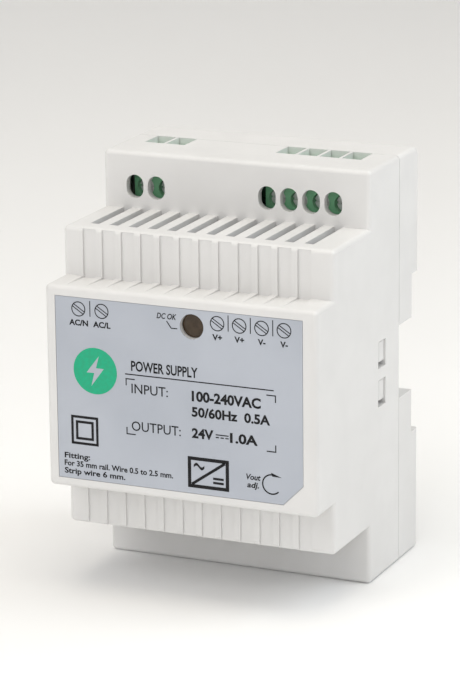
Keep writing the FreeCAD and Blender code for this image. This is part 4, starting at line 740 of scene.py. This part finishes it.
for node in ("bulk_capacitor", "output_capacitor_1", "output_capacitor_2"):
    low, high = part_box(node)
    finish_node(node, sleeve(f"{node}_sleeve", high[0] - STRIPE_SHARE * (high[0] - low[0])))
aluminium = metal("heatsink_aluminium", ALUMINIUM_LIGHT, ALUMINIUM_DEEP, rough=(0.3, 0.5),
                  grain=0.3 * MM, stretch=ROLLED, height=0.008 * MM)
bobbin_plastic = moulded("bobbin_black_phenolic", BOBBIN_LIGHT, BOBBIN_DEEP)
finish_node("primary_heatsink", aluminium)
finish_node("secondary_heatsink", aluminium)
finish_node("primary_switch", epoxy_black)
finish_node("output_rectifier", epoxy_black)
finish_node("transformer_core", ferrite)
finish_node("transformer_bobbin", bobbin_plastic)
finish_node("transformer_winding", winding("transformer_enamelled_wire", TRANSFORMER_WIRE, "Y"))
finish_node("transformer_tape", film("polyester_tape_yellow", TAPE_LIGHT, TAPE_DEEP, TAPE_ROUGH))


# ---------------------------------------------------------------- output and control parts
# The output choke, the optocoupler and control chip, a snubber resistor, the green status
# lamp behind the light pipe, and the blue adjuster with its white rotor at the bottom edge.
OPTO_LIGHT = (0.62, 0.61, 0.57, 1.0)
OPTO_DEEP = (0.54, 0.53, 0.49, 1.0)
RESISTOR_GREY = (0.30, 0.31, 0.31, 1.0)
RESISTOR_BAND = (0.42, 0.30, 0.12, 1.0)
RESISTOR_PITCH = 2.2 * MM
LED_LIGHT = (0.09, 0.55, 0.16, 1.0)
LED_DEEP = (0.05, 0.42, 0.10, 1.0)
TRIMMER_BLUE = (0.02, 0.13, 0.50, 1.0)
TRIMMER_DEEP = (0.015, 0.10, 0.42, 1.0)
ROTOR_WHITE = (0.76, 0.75, 0.71, 1.0)
ROTOR_DEEP = (0.68, 0.67, 0.63, 1.0)
finish_node("output_choke_core", ferrite)
finish_node("output_choke_winding", winding("output_choke_wire", CHOKE_WIRE, "X"))
finish_node("optocoupler", moulded("optocoupler_white_epoxy", OPTO_LIGHT, OPTO_DEEP))
finish_node("control_chip", epoxy_black)
resistor = Finish("resistor_grey_coat")
resistor_colour = resistor.ramp(resistor.bands(RESISTOR_PITCH, "Z"), RESISTOR_GREY,
                                RESISTOR_BAND, start=0.75, end=0.8)
resistor.link(resistor_colour, "Base Color")
resistor.link(resistor.remap(resistor.noise(0.7 * MM), 0.35, 0.5), "Roughness")
resistor.relief(resistor.noise(1.2 * MM), height=0.03 * MM, strength=0.5)
finish_node("snubber_resistor", resistor.material)
led = Finish("led_green_epoxy")
led.link(led.ramp(led.noise(2 * MM), LED_DEEP, LED_LIGHT), "Base Color")
led.link(led.remap(led.noise(0.8 * MM), 0.12, 0.22), "Roughness")
led.set(Transmission_Weight=0.5, IOR=PLASTIC_IOR)
finish_node("status_led", led.material)
finish_node("trimmer_body", moulded("trimmer_blue_plastic", TRIMMER_BLUE, TRIMMER_DEEP,
                                    rough=(0.3, 0.42)))
finish_node("trimmer_rotor", moulded("trimmer_white_nylon", ROTOR_WHITE, ROTOR_DEEP,
                                     rough=(0.35, 0.5)))


# ---------------------------------------------------------------- studio
# A round seamless sweep in a matt near-white paint: flat floor, wide cove, plain wall.
# It looks the same from every side, so the object stands on a plain pale floor in any view.
FLOOR_RADIUS = 1.2
COVE_RADIUS = 0.6
COVE_STEPS = 12
WALL_HEIGHT = 2.2
SWEEP_STEPS = 64
FLOOR_GAP = 0.02 * MM
SAME_CORNER = 0.001 * MM
PAPER = (0.96, 0.96, 0.96, 1.0)
PAPER_DEEP = (0.94, 0.94, 0.94, 1.0)
PAPER_CLOUD = 0.3
ground = cad_box[0][2] - FLOOR_GAP
sweep_work = bmesh.new()
profile = [(0, ground), (FLOOR_RADIUS, ground)]
profile += [(x, z + ground)
            for x, z in arc(FLOOR_RADIUS, COVE_RADIUS, COVE_RADIUS, -90, 0, COVE_STEPS)[1:]]
profile.append((FLOOR_RADIUS + COVE_RADIUS, WALL_HEIGHT))
corners = [sweep_work.verts.new((x, 0, z)) for x, z in profile]
lines = [sweep_work.edges.new(pair) for pair in zip(corners, corners[1:])]
bmesh.ops.spin(sweep_work, geom=lines, cent=(0, 0, 0), axis=(0, 0, 1), angle=2 * math.pi,
               steps=SWEEP_STEPS, use_merge=True)
bmesh.ops.remove_doubles(sweep_work, verts=sweep_work.verts, dist=SAME_CORNER)
bmesh.ops.recalc_face_normals(sweep_work, faces=sweep_work.faces)
paper = Finish("studio_paper")
paper.link(paper.ramp(paper.noise(PAPER_CLOUD), PAPER_DEEP, PAPER), "Base Color")
paper.set(Roughness=0.9)
piece_from("studio_floor", sweep_work, paper.material)


# ---------------------------------------------------------------- lamps
# A broad key from the upper left, a small lamp low in front that reaches into the screw holes,
# a near cool fill on the right side, a warm top light, and an even pale sky.
SKY_WHITE = (1.0, 1.0, 1.0, 1.0)
SKY_STRENGTH = 0.5
# Each lamp: name, place, target, side of its square, watts, colour.
LAMPS = (
    ("key_lamp", (-0.45, -0.85, 0.75), (0, 0, 0), 0.7, 3.4, (1.0, 0.985, 0.97)),
    ("front_lamp", (0.24, -0.84, 0.27), (0, 0, 0.01), 0.16, 0.8, (0.98, 0.99, 1.0)),
    ("fill_lamp", (0.32, 0.06, 0.27), (0, 0, 0.02), 0.25, 0.58, (0.91, 0.965, 1.0)),
    ("top_lamp", (0.05, -0.15, 1.1), (0, 0, 0), 0.8, 4.6, (1.0, 0.93, 0.80)),
)
for name, place, target, size, watts, colour in LAMPS:
    light = bpy.data.lights.new(name, "AREA")
    light.size = size
    light.energy = watts
    light.color = colour
    lamp = bpy.data.objects.new(name, light)
    turn = (Vector(target) - Vector(place)).to_track_quat("-Z", "Y").to_matrix().to_4x4()
    lamp.matrix_world = Matrix.Translation(place) @ turn
    bpy.context.collection.objects.link(lamp)
sky = bpy.data.worlds.new("pale_sky")
sky.use_nodes = True
backdrop = sky.node_tree.nodes["Background"]
backdrop.inputs["Color"].default_value = SKY_WHITE
backdrop.inputs["Strength"].default_value = SKY_STRENGTH
bpy.context.scene.world = sky
bpy.context.scene.view_settings.view_transform = "Standard"


# ---------------------------------------------------------------- camera
# A long lens in front, a little above and to the right, level but for a slight roll.
CAMERA_PLACE = (0.28197, -0.65592, 0.19612)
CAMERA_AZIMUTH = math.radians(24.1616)
CAMERA_HEIGHT = math.radians(15.4532)
CAMERA_ROLL = math.radians(-0.6014)
CAMERA_LENS = 176.1
CAMERA_SENSOR = 36.0
CAMERA_NEAR = 0.01
back = Vector((math.sin(CAMERA_AZIMUTH) * math.cos(CAMERA_HEIGHT),
               -math.cos(CAMERA_AZIMUTH) * math.cos(CAMERA_HEIGHT), math.sin(CAMERA_HEIGHT)))
right = Vector((math.cos(CAMERA_AZIMUTH), math.sin(CAMERA_AZIMUTH), 0))
up = back.cross(right)
facing = Matrix((right, up, back)).transposed() @ Matrix.Rotation(CAMERA_ROLL, 3, "Z")
lens = bpy.data.cameras.new("camera")
lens.lens = CAMERA_LENS
lens.sensor_width = CAMERA_SENSOR
lens.clip_start = CAMERA_NEAR
camera = bpy.data.objects.new("camera", lens)
camera.matrix_world = Matrix.Translation(CAMERA_PLACE) @ facing.to_4x4()
bpy.context.collection.objects.link(camera)
bpy.context.scene.camera = camera
